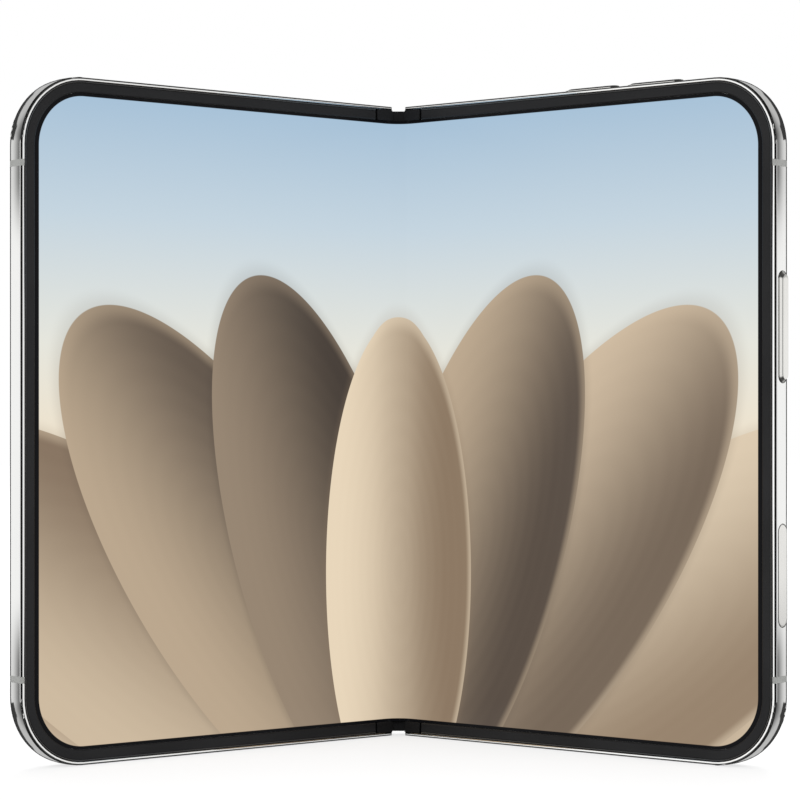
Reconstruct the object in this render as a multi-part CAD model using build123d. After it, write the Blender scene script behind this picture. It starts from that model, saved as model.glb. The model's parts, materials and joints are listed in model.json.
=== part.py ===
from build123d import *
import math
import os

os.makedirs("parts", exist_ok=True)

# Book-style foldable smartphone, standing half open on its bottom edges.
#
# Each half is drawn in its own flat frame: X runs from the spine's centre plane to the outer edge,
# Y runs from the inner screen's rim (0) to the back, Z runs from the bottom edge up.  The right half
# is then turned about its hinge pin by the rest angle; the left half is drawn the same way and
# mirrored.  The finished phone's origin is the bottom centre of its bounding box.

# ---------------------------------------------------------------- driving dimensions, mm and degrees
height = 120.6
half_width = 83.8
thickness = 4.5
corner_radius = 12.5
front_edge_radius = 0.35
back_edge_radius = 0.6
rest_angle = 38.4
closed_gap = 0.2
hinge_pin_x = 2.1
fit = 0.05

# frame
wall = 1.6
lip_width = 0.65
lip_depth = 0.65
glass_rim = 1.0
glass_thickness = 0.6
spine_gap = 0.15
nose_front_x = 2.7
nose_back_y = 3.15
hinge_bay_x = 6.5
web_outer_x = 5.2
web_front_y = 1.55
spine_swing_gap = 0.15
band_offset = 44.6
band_width = 1.13
band_depth = 0.9
microphone_radius = 0.35
speaker_hole_radius = 0.45
speaker_hole_count = 5
speaker_hole_pitch = 2.4

# inner screen and its surround
bezel_inset = 2.8
bezel_corner_radius = 9.6
pad_inner_x = 2.35
pad_outer_x = 6.1
screen_depth = 0.2
screen_thickness = 0.45
screen_fold_x = 7.0
screen_corner_radius = 9.5
fold_apex_y = 0.2
midplate_thickness = 0.35
midplate_inner_x = 3.3

# spine
cover_radius = 1.95
cover_thickness = 0.35
cover_front_y = 1.66
cover_end_gap = 0.75
end_cap_front_y = 1.9
end_cap_length = 1.5

# hinge modules, lengths along Z from the module's centre
module_edge_z = 25.6
bracket_base_thickness = 0.3
lug_radius = 0.9
pin_radius = 0.5
pin_fit = 0.03
end_lug_z = (-9.0, -7.4)
gear_z = (-7.35, -4.85)
middle_lug_z = (-4.8, -3.6)
knuckle_z = (-3.55, 3.55)
spring_z = (3.6, 4.5)
outer_lug_z = (4.55, 6.5)
pin_inset = 0.2
arm_front_gear_x = 2.95
arm_front_lug_x = 3.1
arm_reach_x = 12.5
arm_thickness = 0.5
arm_corner_radius = 1.2
arm_screw_x = 9.6
arm_screw_z = (-5.4, 1.6)
sector_teeth = 13
sector_cut_teeth = 7
pinion_teeth = 7
journal_radius = 0.25
tooth_height_share = 0.8
tooth_root_share = 1.1
tooth_width_share = 0.42
tooth_taper = 0.55
disc_spring_count = 2
disc_spring_thickness = 0.15
disc_spring_radius = 0.85

# screws
screw_radius = 0.4
screw_head_radius = 0.8
screw_head_height = 0.35
spine_screw_radius = 0.3
spine_screw_head_radius = 0.6
spine_screw_z = (-1.6, 2.4)
spine_screw_bite = 0.2

# buttons, lengths along the edge they sit on
button_width = 3.0
button_centre_y = 2.45
button_proud = 0.52
button_sink = 0.6
button_chamfer = 0.18
button_gap = 0.1
pocket_depth = 0.95
stem_width = 2.6
stem_step = 0.4
flange_overhang = 0.6
flange_thickness = 0.5
power_button_z = 76.6
power_button_length = 19.3
control_pad_z = 33.6
control_pad_length = 17.8
control_pad_proud = 0.0
volume_up_x = 44.4
volume_down_x = 58.0
volume_button_length = 11.7
switch_gap = 0.3
switch_dome_radius = 0.9
switch_dome_height = 0.5
switch_plate_thickness = 0.4
switch_plate_length = 6.0

# things inside the two halves
inner_gap = 0.15
bay_inner_x = 13.6
switch_room = 4.2
strip_height = 8.0
strip_gap = 1.2
board_height = 32.0
board_thickness = 0.6
board_cutout_gap = 0.5
shield_margin = 2.0
shield_wall = 0.25
coil_outer_radius = 19.0
coil_inner_radius = 10.0
coil_thickness = 0.25
battery_corner_radius = 2.0
haptic_length = 15.0
speaker_length = 17.0
sub_board_height = 9.0
box_corner_radius = 1.0

# rear cameras
plateau_height = 1.6
plateau_width = 19.0
plateau_chamfer = 0.5
camera_edge_x = 17.0
camera_edge_z = 17.0
camera_spacing = 18.5
flash_spacing = 11.8
flash_radius = 1.9
module_size = 11.0
barrel_radius = 4.4
barrel_clearance = 0.3
ring_outer_radius = 6.6
ring_inner_radius = 5.2
ring_proud = 0.8
lens_glass_thickness = 0.5
lens_glass_sink = 0.25

# cover screen
cover_screen_thickness = 0.5
cover_screen_border = 1.6
cover_camera_edge_z = 8.5
cover_camera_radius = 2.4

# USB-C socket
usb_opening_length = 8.34
usb_opening_width = 2.56
usb_wall = 0.12
usb_depth = 6.8
usb_sink = 0.25
usb_tongue_length = 6.69
usb_tongue_thickness = 0.7
usb_tongue_sink = 1.0
usb_hole_gap = 0.03

# flexible cables through the spine
cable_thickness = 0.15
cable_width = 8.0
cable_edge_z = 11.1
cable_depth = 0.25
cable_turn_x = 3.5
cable_spine_x = 1.5
cable_spine_y = 2.75
cable_bend_radius = 0.5

# ---------------------------------------------------------------- values worked out from the above
hinge_pin_y = hinge_pin_x - closed_gap / 2
glass_front_y = thickness - glass_thickness
midplate_back_y = lip_depth + midplate_thickness
turn = math.radians(rest_angle)
middle_x = half_width / 2
module_offset = height / 2 - module_edge_z
cable_offset = height / 2 - cable_edge_z
gear_module = 2 * hinge_pin_x / (sector_teeth + 2 * pinion_teeth)
pinion_x = gear_module * pinion_teeth / 2
pinion_turn = rest_angle * sector_teeth / pinion_teeth
arm_back_y = midplate_back_y + arm_thickness
cover_inner_radius = cover_radius - cover_thickness
bay_outer_x = half_width - wall - switch_room
bay_bottom_z = wall + inner_gap
bay_top_z = height - wall - switch_room
strip_top_z = bay_bottom_z + strip_height
strip_outer_x = half_width - corner_radius
inner_front_y = midplate_back_y + inner_gap
inner_back_y = glass_front_y - fit
camera_z = height - camera_edge_z
camera_x = (half_width - camera_edge_x, half_width - camera_edge_x - camera_spacing)
flash_x = camera_x[1] - flash_spacing


def turned(x, y):
    """Point (x, y) of the right half's flat frame, with the half turned by the rest angle."""
    along, deep = x - hinge_pin_x, y - hinge_pin_y
    return (
        hinge_pin_x + along * math.cos(turn) + deep * math.sin(turn),
        hinge_pin_y - along * math.sin(turn) + deep * math.cos(turn),
    )


front_extreme = turned(half_width - front_edge_radius, front_edge_radius)[1] - front_edge_radius
back_extreme = turned(spine_gap, thickness)[1]
depth_shift = -(front_extreme + back_extreme) / 2


# ---------------------------------------------------------------- placing and writing
def on_right(shape):
    """Carry a shape from the right half's flat frame to the finished phone."""
    pin = Pos(hinge_pin_x, hinge_pin_y + depth_shift, 0)
    return pin * Rot(0, 0, -rest_angle) * Pos(-hinge_pin_x, -hinge_pin_y, 0) * shape


def on_left(shape):
    """Mirror a shape drawn in the right half's flat frame and carry it to the left half."""
    pin = Pos(-hinge_pin_x, hinge_pin_y + depth_shift, 0)
    return pin * Rot(0, 0, rest_angle) * Pos(hinge_pin_x, -hinge_pin_y, 0) * shape.mirror(Plane.YZ)


def on_spine(shape):
    """Carry a shape from the spine's frame to the finished phone."""
    return Pos(0, depth_shift, 0) * shape


def save(name, shapes):
    """Write one sub-part, made of one or more solids."""
    solids = [solid for shape in shapes for solid in shape.solids()]
    body = solids[0] if len(solids) == 1 else Compound(solids)
    export_step(body, f"parts/{name}.step")


# ---------------------------------------------------------------- basic forms
def slab(x_span, y_span, z_span, outer_radius=0.0, inner_radius=0.0):
    """Box with rounded corners, seen from the front, at its outer and its hinge side."""
    size = [span[1] - span[0] for span in (x_span, y_span, z_span)]
    middle = [sum(span) / 2 for span in (x_span, y_span, z_span)]
    body = Pos(*middle) * Box(*size)
    if outer_radius > 0:
        body = fillet(body.edges().filter_by(Axis.Y).group_by(Axis.X)[-1], outer_radius)
    if inner_radius > 0:
        body = fillet(body.edges().filter_by(Axis.Y).group_by(Axis.X)[0], inner_radius)
    return body


def inset_slab(inset, x_inner, y_span, inner_radius=0.0):
    """Slab that follows the phone's outline at a constant inset."""
    x_span = (x_inner, half_width - inset)
    z_span = (inset, height - inset)
    return slab(x_span, y_span, z_span, corner_radius - inset, inner_radius)


def rod(x, y, radius, z_span):
    """Cylinder along Z."""
    length = z_span[1] - z_span[0]
    return Pos(x, y, sum(z_span) / 2) * Cylinder(radius, length)


def post(x, z, radius, y_span):
    """Cylinder along Y."""
    length = y_span[1] - y_span[0]
    return Pos(x, sum(y_span) / 2, z) * Rot(90, 0, 0) * Cylinder(radius, length)


def prism(outline, z_span):
    """Straight body along Z over a flat outline."""
    return Pos(0, 0, z_span[0]) * extrude(outline, z_span[1] - z_span[0])


def inside_z(gap):
    """Span of heights that stays a gap away from the bottom and top edges."""
    return (gap, height - gap)


# ---------------------------------------------------------------- buttons
side_power = Plane(origin=(half_width, button_centre_y, power_button_z), x_dir=(0, 0, 1), z_dir=(1, 0, 0))
side_pad = Plane(origin=(half_width, button_centre_y, control_pad_z), x_dir=(0, 0, 1), z_dir=(1, 0, 0))
top_volume_up = Plane(origin=(volume_up_x, button_centre_y, height), x_dir=(1, 0, 0), z_dir=(0, 0, 1))
top_volume_down = Plane(origin=(volume_down_x, button_centre_y, height), x_dir=(1, 0, 0), z_dir=(0, 0, 1))
buttons = {
    "power_button": (side_power, power_button_length, button_proud),
    "control_pad": (side_pad, control_pad_length, control_pad_proud),
    "volume_up_button": (top_volume_up, volume_button_length, button_proud),
    "volume_down_button": (top_volume_down, volume_button_length, button_proud),
}


def button(plane, length, proud):
    """Long rounded cap on a stem, with a flange that keeps it behind the wall."""
    cap = extrude(plane.offset(-button_sink) * SlotOverall(length, button_width), button_sink + proud)
    rim = cap.faces().sort_by(Axis(plane.origin, plane.z_dir))[-1].edges()
    cap = chamfer(rim, button_chamfer)
    flange_top = wall + fit
    stem_length = length - 2 * stem_step
    stem = extrude(plane.offset(-flange_top) * SlotOverall(stem_length, stem_width), flange_top - button_sink)
    flange_length = length + 2 * flange_overhang
    flange_sketch = RectangleRounded(flange_length, stem_width, stem_width / 3)
    flange = extrude(plane.offset(-flange_top - flange_thickness) * flange_sketch, flange_thickness)
    return cap + stem + flange


def button_opening(plane, length):
    """Pocket for the cap and slot for the stem, cut in the frame's wall."""
    pocket_sketch = SlotOverall(length + 2 * button_gap, button_width + 2 * button_gap)
    pocket = extrude(plane.offset(-pocket_depth) * pocket_sketch, 2 * pocket_depth)
    slot_length = length - 2 * stem_step + 2 * button_gap
    slot_sketch = SlotOverall(slot_length, stem_width + 2 * button_gap)
    return pocket + extrude(plane.offset(-2 * wall) * slot_sketch, 2 * wall)


def button_switch(plane):
    """Dome switch on its stiffener behind one button."""
    dome_top = wall + fit + flange_thickness + switch_gap
    plate_top = dome_top + switch_dome_height
    dome = extrude(plane.offset(-plate_top) * Circle(switch_dome_radius), switch_dome_height)
    plate_sketch = Rectangle(switch_plate_length, stem_width)
    plate = extrude(plane.offset(-plate_top - switch_plate_thickness) * plate_sketch, switch_plate_thickness)
    return dome + plate


# ---------------------------------------------------------------- frames
def outer_block():
    """Solid block with the outer shape of one half."""
    block = slab((spine_gap, half_width), (0, thickness), (0, height), corner_radius)
    for face, radius in ((0, front_edge_radius), (-1, back_edge_radius)):
        rim = block.faces().filter_by(Axis.Y).sort_by(Axis.Y)[face].edges()
        outline = rim.filter_by(lambda edge: edge.center().X > hinge_pin_x)
        block = fillet(outline, radius)
    return block


def speaker_holes(x):
    """Row of round holes through the bottom wall."""
    first = x - speaker_hole_pitch * (speaker_hole_count - 1) / 2
    places = [first + index * speaker_hole_pitch for index in range(speaker_hole_count)]
    return [rod(place, button_centre_y, speaker_hole_radius, (-wall, 2 * wall)) for place in places]


def band_slot(side):
    """Space of one antenna band, above (1) or below (-1) mid-height."""
    middle = height / 2 + side * band_offset
    z_span = (middle - band_width / 2, middle + band_width / 2)
    return slab((half_width - band_depth, half_width + wall), (-wall, thickness + wall), z_span)


def half_frame():
    """Metal frame of one half: rim, ledge, glass seat, shoulders over the spine and hinge rail."""
    frame = outer_block()
    over = thickness
    frame -= inset_slab(lip_width, -over, (-over, lip_depth))
    frame -= inset_slab(wall, web_outer_x, (lip_depth - fit, glass_front_y + fit))
    frame -= inset_slab(glass_rim, web_outer_x + fit, (glass_front_y, thickness + over), glass_rim)
    frame -= slab((-over, hinge_bay_x), (-over, web_front_y), inside_z(lip_width))
    swing_radius = cover_radius + spine_swing_gap
    frame -= rod(hinge_pin_x, hinge_pin_y, swing_radius, inside_z(lip_width))
    frame -= slab((-over, hinge_pin_x), (-over, hinge_pin_y + swing_radius), inside_z(lip_width))
    nose = Polygon(
        (-over, -over), (nose_front_x, -over), (nose_front_x, 0),
        (spine_gap, nose_back_y), (-over, nose_back_y),
        align=None,
    )
    frame -= prism(nose, (-over, height + over))
    for side in (-1, 1):
        frame -= band_slot(side)
    return frame


def antenna_bands():
    """Two plastic bands that follow the frame's outer surface."""
    rim = outer_block() - inset_slab(lip_width, -thickness, (-thickness, lip_depth))
    return [rim & band_slot(side) for side in (-1, 1)]


def right_frame():
    frame = half_frame()
    for plane, length, _ in buttons.values():
        frame -= button_opening(plane, length)
    hole_length = usb_opening_length + 2 * (usb_wall + usb_hole_gap)
    hole_width = usb_opening_width + 2 * (usb_wall + usb_hole_gap)
    usb_hole = Pos(middle_x, button_centre_y) * SlotOverall(hole_length, hole_width)
    frame -= prism(usb_hole, (-wall, 2 * wall))
    for hole in speaker_holes(strip_outer_x - speaker_length / 2):
        frame -= hole
    return frame - rod(middle_x + usb_opening_length, button_centre_y, microphone_radius, (-wall, 2 * wall))


def left_frame():
    frame = half_frame()
    for hole in speaker_holes(strip_outer_x - speaker_length / 2):
        frame -= hole
    top_hole = (height - 2 * wall, height + wall)
    return frame - rod(middle_x, button_centre_y, microphone_radius, top_hole)


# ---------------------------------------------------------------- inner screen and what carries it
def bezel_ring():
    """U-shaped surround of the inner screen on one half."""
    ring = inset_slab(lip_width + fit, hinge_bay_x, (0, lip_depth))
    opening_x = (-thickness, half_width - bezel_inset)
    opening = slab(opening_x, (-thickness, thickness), inside_z(bezel_inset), bezel_corner_radius)
    return ring - opening


def fold_pads():
    """Soft pads beside the fold at the top and bottom of the inner screen."""
    x_span = (pad_inner_x, pad_outer_x)
    lower = slab(x_span, (0, lip_depth), (lip_width + fit, bezel_inset), 0.0, 0.0)
    upper = slab(x_span, (0, lip_depth), (height - bezel_inset, height - lip_width - fit))
    return [lower, upper]


def screen_panel():
    """Stiff part of the inner screen on one half."""
    edge = bezel_inset + fit
    x_span = (screen_fold_x, half_width - edge)
    y_span = (screen_depth, screen_depth + screen_thickness)
    return slab(x_span, y_span, inside_z(edge), screen_corner_radius)


def screen_fold():
    """Flexible middle of the inner screen, bent between the two panels."""
    panel_y = screen_depth + screen_thickness / 2
    crest_y = fold_apex_y + screen_thickness / 2
    along = (hinge_pin_x + (panel_y - hinge_pin_y) * math.sin(turn)) / math.cos(turn)
    crossing_y = turned(hinge_pin_x - along, panel_y)[1]
    radius = (crossing_y - crest_y) / (1 / math.cos(turn) - 1)
    end_x, end_y = turned(screen_fold_x - fit, panel_y)
    bend = CenterArc((0, crest_y - radius), radius, 90 - rest_angle, 2 * rest_angle)
    right = Line((end_x, end_y), bend @ 0)
    left = Line(bend @ 1, (-end_x, end_y))
    sheet = trace(right + bend + left, screen_thickness)
    return prism(sheet, inside_z(bezel_inset + fit))


def midplate():
    """Thin plate behind the inner screen, with holes for the arm screws."""
    edge = wall + fit
    plate = inset_slab(edge, hinge_bay_x, (lip_depth, midplate_back_y))
    plate += slab((midplate_inner_x, 2 * hinge_bay_x), (lip_depth, midplate_back_y), inside_z(bezel_inset))
    for x, z in arm_screw_places():
        plate -= post(x, z, screw_radius + fit, (0, thickness))
    return plate


def back_glass():
    """Flat rear glass in the frame's seat."""
    edge = glass_rim + fit
    return inset_slab(edge, web_outer_x + 2 * fit, (glass_front_y, thickness), glass_rim)


# ---------------------------------------------------------------- spine and hinge modules
def spine_outline(radius):
    """Cross-section of the spine: two circles about the hinge pins and what lies between."""
    middle = Pos(0, hinge_pin_y) * Rectangle(2 * hinge_pin_x, 2 * radius)
    ends = [Pos(side * hinge_pin_x, hinge_pin_y) * Circle(radius) for side in (-1, 1)]
    return middle + ends[0] + ends[1]


def spine_section(radius, front_y):
    """Part of the spine's cross-section that lies behind a given depth."""
    reach = 4 * cover_radius
    behind = Pos(0, front_y + reach / 2) * Rectangle(2 * reach, reach)
    return spine_outline(radius) & behind


def module_z(side, z):
    """Height of a place in the upper (1) or lower (-1) hinge module."""
    return height / 2 + side * (module_offset + z)


def in_module(shape, side):
    """Carry a shape from a module's frame to the upper or the lower module."""
    own = shape if side > 0 else shape.mirror(Plane.XY)
    return Pos(0, 0, height / 2 + side * module_offset) * own


def arm_screw_places():
    """Places of the screws that fasten the hinge arms to the midplate."""
    return [(arm_screw_x, module_z(side, z)) for side in (-1, 1) for z in arm_screw_z]


def spine_cover():
    """Rounded trough that closes the back of the hinge."""
    wall_section = spine_section(cover_radius, cover_front_y) - spine_outline(cover_inner_radius)
    cover = prism(wall_section, inside_z(cover_end_gap))
    seat = hinge_pin_y + cover_inner_radius
    for side in (-1, 1):
        for z in spine_screw_z:
            bite = (seat - fit, seat + spine_screw_bite)
            cover -= post(0, module_z(side, z), spine_screw_radius + pin_fit, bite)
    return cover


def end_caps():
    """Plugs in the two ends of the spine."""
    section = spine_section(cover_inner_radius - fit, end_cap_front_y)
    lower = prism(section, (cover_end_gap, cover_end_gap + end_cap_length))
    upper_z = height - cover_end_gap
    return [lower, prism(section, (upper_z - end_cap_length, upper_z))]


def tooth(pitch_radius):
    """One straight-sided gear tooth, pointing along X."""
    root = pitch_radius - tooth_root_share * gear_module
    tip = pitch_radius + tooth_height_share * gear_module
    half_root = tooth_width_share * math.pi * gear_module / 2 * (1 + tooth_taper / 2)
    half_tip = half_root * (1 - tooth_taper)
    return Polygon((root / 2, -half_root), (root, -half_root), (tip, -half_tip), (tip, half_tip),
                   (root, half_root), (root / 2, half_root), align=None)


def gear(teeth, z_span, first_tooth, cut_teeth):
    """Gear about Z with some or all of its teeth cut, counted on from the angle of the first one."""
    pitch_radius = gear_module * teeth / 2
    outline = Circle(pitch_radius - tooth_root_share * gear_module)
    for index in range(cut_teeth):
        outline += Rot(0, 0, first_tooth + index * 360 / teeth) * tooth(pitch_radius)
    return prism(outline, z_span)


def lug(z_span):
    """Cross wall of a bracket that carries the pins."""
    plate = spine_outline(lug_radius)
    base_y = hinge_pin_y + cover_inner_radius - fit - bracket_base_thickness / 2
    plate += Pos(0, (hinge_pin_y + base_y) / 2) * Rectangle(2 * hinge_pin_x, base_y - hinge_pin_y)
    return prism(plate, z_span)


def hinge_bracket(side):
    """Bracket of one hinge module: base in the spine and three lugs."""
    base_back = cover_inner_radius - fit
    base_section = spine_section(base_back, hinge_pin_y + base_back - bracket_base_thickness)
    bracket = prism(base_section, (end_lug_z[0], outer_lug_z[1]))
    for z_span in (end_lug_z, middle_lug_z, outer_lug_z):
        bracket += lug(z_span)
    whole = (end_lug_z[0] - fit, outer_lug_z[1] + fit)
    for hand in (-1, 1):
        bracket -= rod(hand * hinge_pin_x, hinge_pin_y, pin_radius + pin_fit, whole)
        journal = (end_lug_z[0] - fit, middle_lug_z[1] + fit)
        bracket -= rod(hand * pinion_x, hinge_pin_y, journal_radius + pin_fit, journal)
    for z in spine_screw_z:
        bracket -= post(0, z, spine_screw_radius + pin_fit, (hinge_pin_y, thickness))
    return in_module(bracket, side)


def hinge_arm(side, first_tooth):
    """Arm of one half: knuckle and gear on the pin, plate under the midplate."""
    knuckle = rod(hinge_pin_x, hinge_pin_y, lug_radius, knuckle_z)
    knuckle += Pos(hinge_pin_x, hinge_pin_y) * gear(sector_teeth, gear_z, first_tooth, sector_cut_teeth)
    y_span = (midplate_back_y, arm_back_y)
    plate = slab((arm_front_lug_x, arm_reach_x), y_span, (gear_z[0], knuckle_z[1]), arm_corner_radius)
    plate += slab((hinge_pin_x, arm_reach_x - arm_corner_radius), y_span, knuckle_z)
    gear_side = (arm_front_gear_x, arm_reach_x - arm_corner_radius)
    plate += slab(gear_side, y_span, gear_z)
    arm = knuckle + plate
    arm -= rod(hinge_pin_x, hinge_pin_y, pin_radius + pin_fit, (gear_z[0] - fit, knuckle_z[1] + fit))
    for z in arm_screw_z:
        arm -= post(arm_screw_x, z, screw_radius + fit, (0, thickness))
    return in_module(arm, side)


def hinge_pinion(side, hand):
    """Small gear with its journals, on the right (1) or left (-1) of the spine's centre."""
    wheel = gear(pinion_teeth, (gear_z[0] + fit, gear_z[1] - fit), 180.0, pinion_teeth)
    wheel += rod(0, 0, journal_radius, (end_lug_z[0] + pin_inset, middle_lug_z[1] - pin_inset))
    turned_wheel = Rot(0, 0, hand * pinion_turn) * wheel
    return in_module(Pos(hand * pinion_x, hinge_pin_y, 0) * turned_wheel, side)


def hinge_pins():
    """Four pins, one for each knuckle."""
    span = (end_lug_z[0] + pin_inset, outer_lug_z[1] - pin_inset)
    pins = [
        (side, rod(hand * hinge_pin_x, hinge_pin_y, pin_radius, span))
        for side in (-1, 1) for hand in (-1, 1)
    ]
    return [in_module(pin, side) for side, pin in pins]


def disc_spring(flip):
    """One coned disc spring about Z, wide end up or down."""
    step = (spring_z[1] - spring_z[0]) / disc_spring_count
    rise = step - disc_spring_thickness
    bore = pin_radius + fit
    low, high = (rise, 0) if flip else (0, rise)
    section = Polygon(
        (bore, low), (disc_spring_radius, high), (disc_spring_radius, high + disc_spring_thickness),
        (bore, low + disc_spring_thickness), align=None,
    )
    return revolve(Plane.XZ * section, Axis.Z)


def friction_springs():
    """Disc spring stacks that press on the knuckles and hold the phone at any angle."""
    step = (spring_z[1] - spring_z[0]) / disc_spring_count
    discs = []
    for side in (-1, 1):
        for hand in (-1, 1):
            for index in range(disc_spring_count):
                place = Pos(hand * hinge_pin_x, hinge_pin_y, spring_z[0] + index * step)
                discs.append(in_module(place * disc_spring(index % 2 == 1), side))
    return discs


def spine_screws():
    """Screws that hold the brackets in the spine cover."""
    head_back = hinge_pin_y + cover_inner_radius - fit - bracket_base_thickness
    tip = hinge_pin_y + cover_inner_radius + spine_screw_bite - pin_fit
    screws = []
    for side in (-1, 1):
        for z in spine_screw_z:
            place = module_z(side, z)
            seat = Plane(origin=(0, head_back - screw_head_height, place), z_dir=(0, 1, 0))
            head = extrude(seat * RegularPolygon(spine_screw_head_radius, 6), screw_head_height)
            screws.append(head + post(0, place, spine_screw_radius, (head_back - pin_fit, tip)))
    return screws


def arm_screws():
    """Screws that hold the hinge arms under the midplate."""
    screws = []
    for x, z in arm_screw_places():
        seat = Plane(origin=(x, arm_back_y, z), z_dir=(0, 1, 0))
        head = extrude(seat * RegularPolygon(screw_head_radius, 6), screw_head_height)
        screws.append(head + post(x, z, screw_radius, (lip_depth + fit, arm_back_y + fit)))
    return screws


def flex_cables():
    """Two ribbons that join the halves' circuits through the spine."""
    ribbon_y = midplate_back_y + cable_depth
    far = turned(bay_inner_x - fit, ribbon_y)
    near = turned(cable_turn_x, ribbon_y)
    route = [far, near, (cable_spine_x, cable_spine_y)]
    mirrored = [(-x, y) for x, y in reversed(route)]
    section = trace(FilletPolyline(*route, *mirrored, radius=cable_bend_radius), cable_thickness)
    ribbons = []
    for side in (-1, 1):
        middle = height / 2 + side * cable_offset
        ribbons.append(prism(section, (middle - cable_width / 2, middle + cable_width / 2)))
    return ribbons


# ---------------------------------------------------------------- inside the right half
def battery(y_back, z_span):
    """Flat rounded pouch cell."""
    x_span = (bay_inner_x, bay_outer_x)
    cell = slab(x_span, (inner_front_y, y_back), z_span, battery_corner_radius, battery_corner_radius)
    return cell


board_bottom_z = bay_top_z - board_height
right_battery_z = (strip_top_z + strip_gap, board_bottom_z - strip_gap)
right_battery_back_y = inner_back_y - coil_thickness - fit


def main_board():
    """Circuit board with a cut-out for the camera modules."""
    y_span = (inner_front_y, inner_front_y + board_thickness)
    z_span = (board_bottom_z, bay_top_z)
    board = slab((bay_inner_x, bay_outer_x), y_span, z_span, box_corner_radius, box_corner_radius)
    reach = module_size / 2 + board_cutout_gap
    cutout_x = (camera_x[1] - reach, camera_x[0] + reach)
    cutout_z = (camera_z - reach, camera_z + reach)
    cutout = slab(cutout_x, (0, thickness), cutout_z, box_corner_radius, box_corner_radius)
    return board - cutout


def board_shield():
    """Pressed metal can over the board's chips."""
    x_span = (bay_inner_x + shield_margin, flash_x - flash_radius - board_cutout_gap)
    z_span = (board_bottom_z + shield_margin, bay_top_z - shield_margin)
    base_y = inner_front_y + board_thickness
    can = slab(x_span, (base_y, inner_back_y - fit), z_span, box_corner_radius, box_corner_radius)
    inner_x = (x_span[0] + shield_wall, x_span[1] - shield_wall)
    inner_z = (z_span[0] + shield_wall, z_span[1] - shield_wall)
    radius = box_corner_radius - shield_wall
    return can - slab(inner_x, (base_y - fit, inner_back_y - fit - shield_wall), inner_z, radius, radius)


def charging_coil():
    """Flat ring of the wireless charging coil, between battery and rear glass."""
    x = (bay_inner_x + bay_outer_x) / 2
    z = sum(right_battery_z) / 2
    span = (inner_back_y - coil_thickness, inner_back_y)
    return post(x, z, coil_outer_radius, span) - post(x, z, coil_inner_radius, span)


def usb_shell():
    """Rounded steel tube of the USB-C socket, closed at its inner end."""
    length, width = usb_opening_length + 2 * usb_wall, usb_opening_width + 2 * usb_wall
    tube = prism(Pos(middle_x, button_centre_y) * SlotOverall(length, width), (usb_sink, usb_depth))
    bore = Pos(middle_x, button_centre_y) * SlotOverall(usb_opening_length, usb_opening_width)
    return tube - prism(bore, (0, usb_depth - usb_wall))


def usb_tongue():
    """Contact tongue in the middle of the USB-C socket."""
    z_span = (usb_tongue_sink, usb_depth - usb_wall)
    x_span = (middle_x - usb_tongue_length / 2, middle_x + usb_tongue_length / 2)
    y_span = (button_centre_y - usb_tongue_thickness / 2, button_centre_y + usb_tongue_thickness / 2)
    return slab(x_span, y_span, z_span)


def strip_box(x_span, y_back):
    """Rounded box in the strip along the bottom edge."""
    y_span = (inner_front_y, y_back)
    return slab(x_span, y_span, (bay_bottom_z, strip_top_z), box_corner_radius, box_corner_radius)


def speaker():
    """Loudspeaker box behind the row of holes."""
    x_span = (strip_outer_x - speaker_length, strip_outer_x)
    return strip_box(x_span, right_battery_back_y)


def haptic_motor():
    """Vibration motor beside the socket."""
    return strip_box((bay_inner_x, bay_inner_x + haptic_length), right_battery_back_y)


# ---------------------------------------------------------------- rear cameras on the right half
def right_back_glass():
    glass = back_glass()
    for x in camera_x:
        glass -= post(x, camera_z, barrel_radius + barrel_clearance, (0, 2 * thickness))
    return glass - post(flash_x, camera_z, flash_radius + fit, (0, 2 * thickness))


def camera_plateau():
    """Raised metal plate round the rear cameras and the flash."""
    reach = plateau_width / 2
    x_span = (flash_x - flash_radius - (reach - ring_outer_radius) * 2, camera_x[0] + reach)
    y_span = (thickness, thickness + plateau_height)
    round_end = reach - fit
    plate = slab(x_span, y_span, (camera_z - reach, camera_z + reach), round_end, round_end)
    rim = plate.faces().sort_by(Axis.Y)[-1].edges()
    plate = chamfer(rim, plateau_chamfer)
    for x in camera_x:
        plate -= post(x, camera_z, ring_outer_radius + fit, (0, 2 * thickness))
    return plate - post(flash_x, camera_z, flash_radius + fit, (0, 2 * thickness))


def lens_rings():
    """Turned metal ring round each rear lens."""
    top = thickness + plateau_height + ring_proud
    rings = []
    for x in camera_x:
        ring = post(x, camera_z, ring_outer_radius, (thickness, top))
        ring = chamfer(ring.faces().sort_by(Axis.Y)[-1].edges(), ring_proud / 4)
        rings.append(ring - post(x, camera_z, ring_inner_radius, (0, 2 * top)))
    return rings


def lens_glasses():
    """Flat glass over each rear lens."""
    top = thickness + plateau_height + ring_proud - lens_glass_sink
    return [post(x, camera_z, ring_inner_radius - fit, (top - lens_glass_thickness, top)) for x in camera_x]


def camera_modules():
    """Camera bodies with their round barrels."""
    shoulder = inner_back_y
    barrel_top = thickness + plateau_height + ring_proud - lens_glass_sink - lens_glass_thickness - fit
    half_size = module_size / 2
    modules = []
    for x in camera_x:
        z_span = (camera_z - half_size, camera_z + half_size)
        body = slab((x - half_size, x + half_size), (inner_front_y, shoulder), z_span)
        modules.append(body + post(x, camera_z, barrel_radius, (shoulder - fit, barrel_top)))
    return modules


def flash_window():
    """Clear window of the flash, with its lamp body behind."""
    y_span = (inner_front_y + board_thickness, thickness + plateau_height)
    return post(flash_x, camera_z, flash_radius, y_span)


# ---------------------------------------------------------------- inside the left half
cover_camera_z = height - cover_camera_edge_z
cover_screen_front_y = inner_back_y - cover_screen_thickness
left_back_y = cover_screen_front_y - fit
sub_board_z = (bay_top_z - sub_board_height, bay_top_z)


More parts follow.
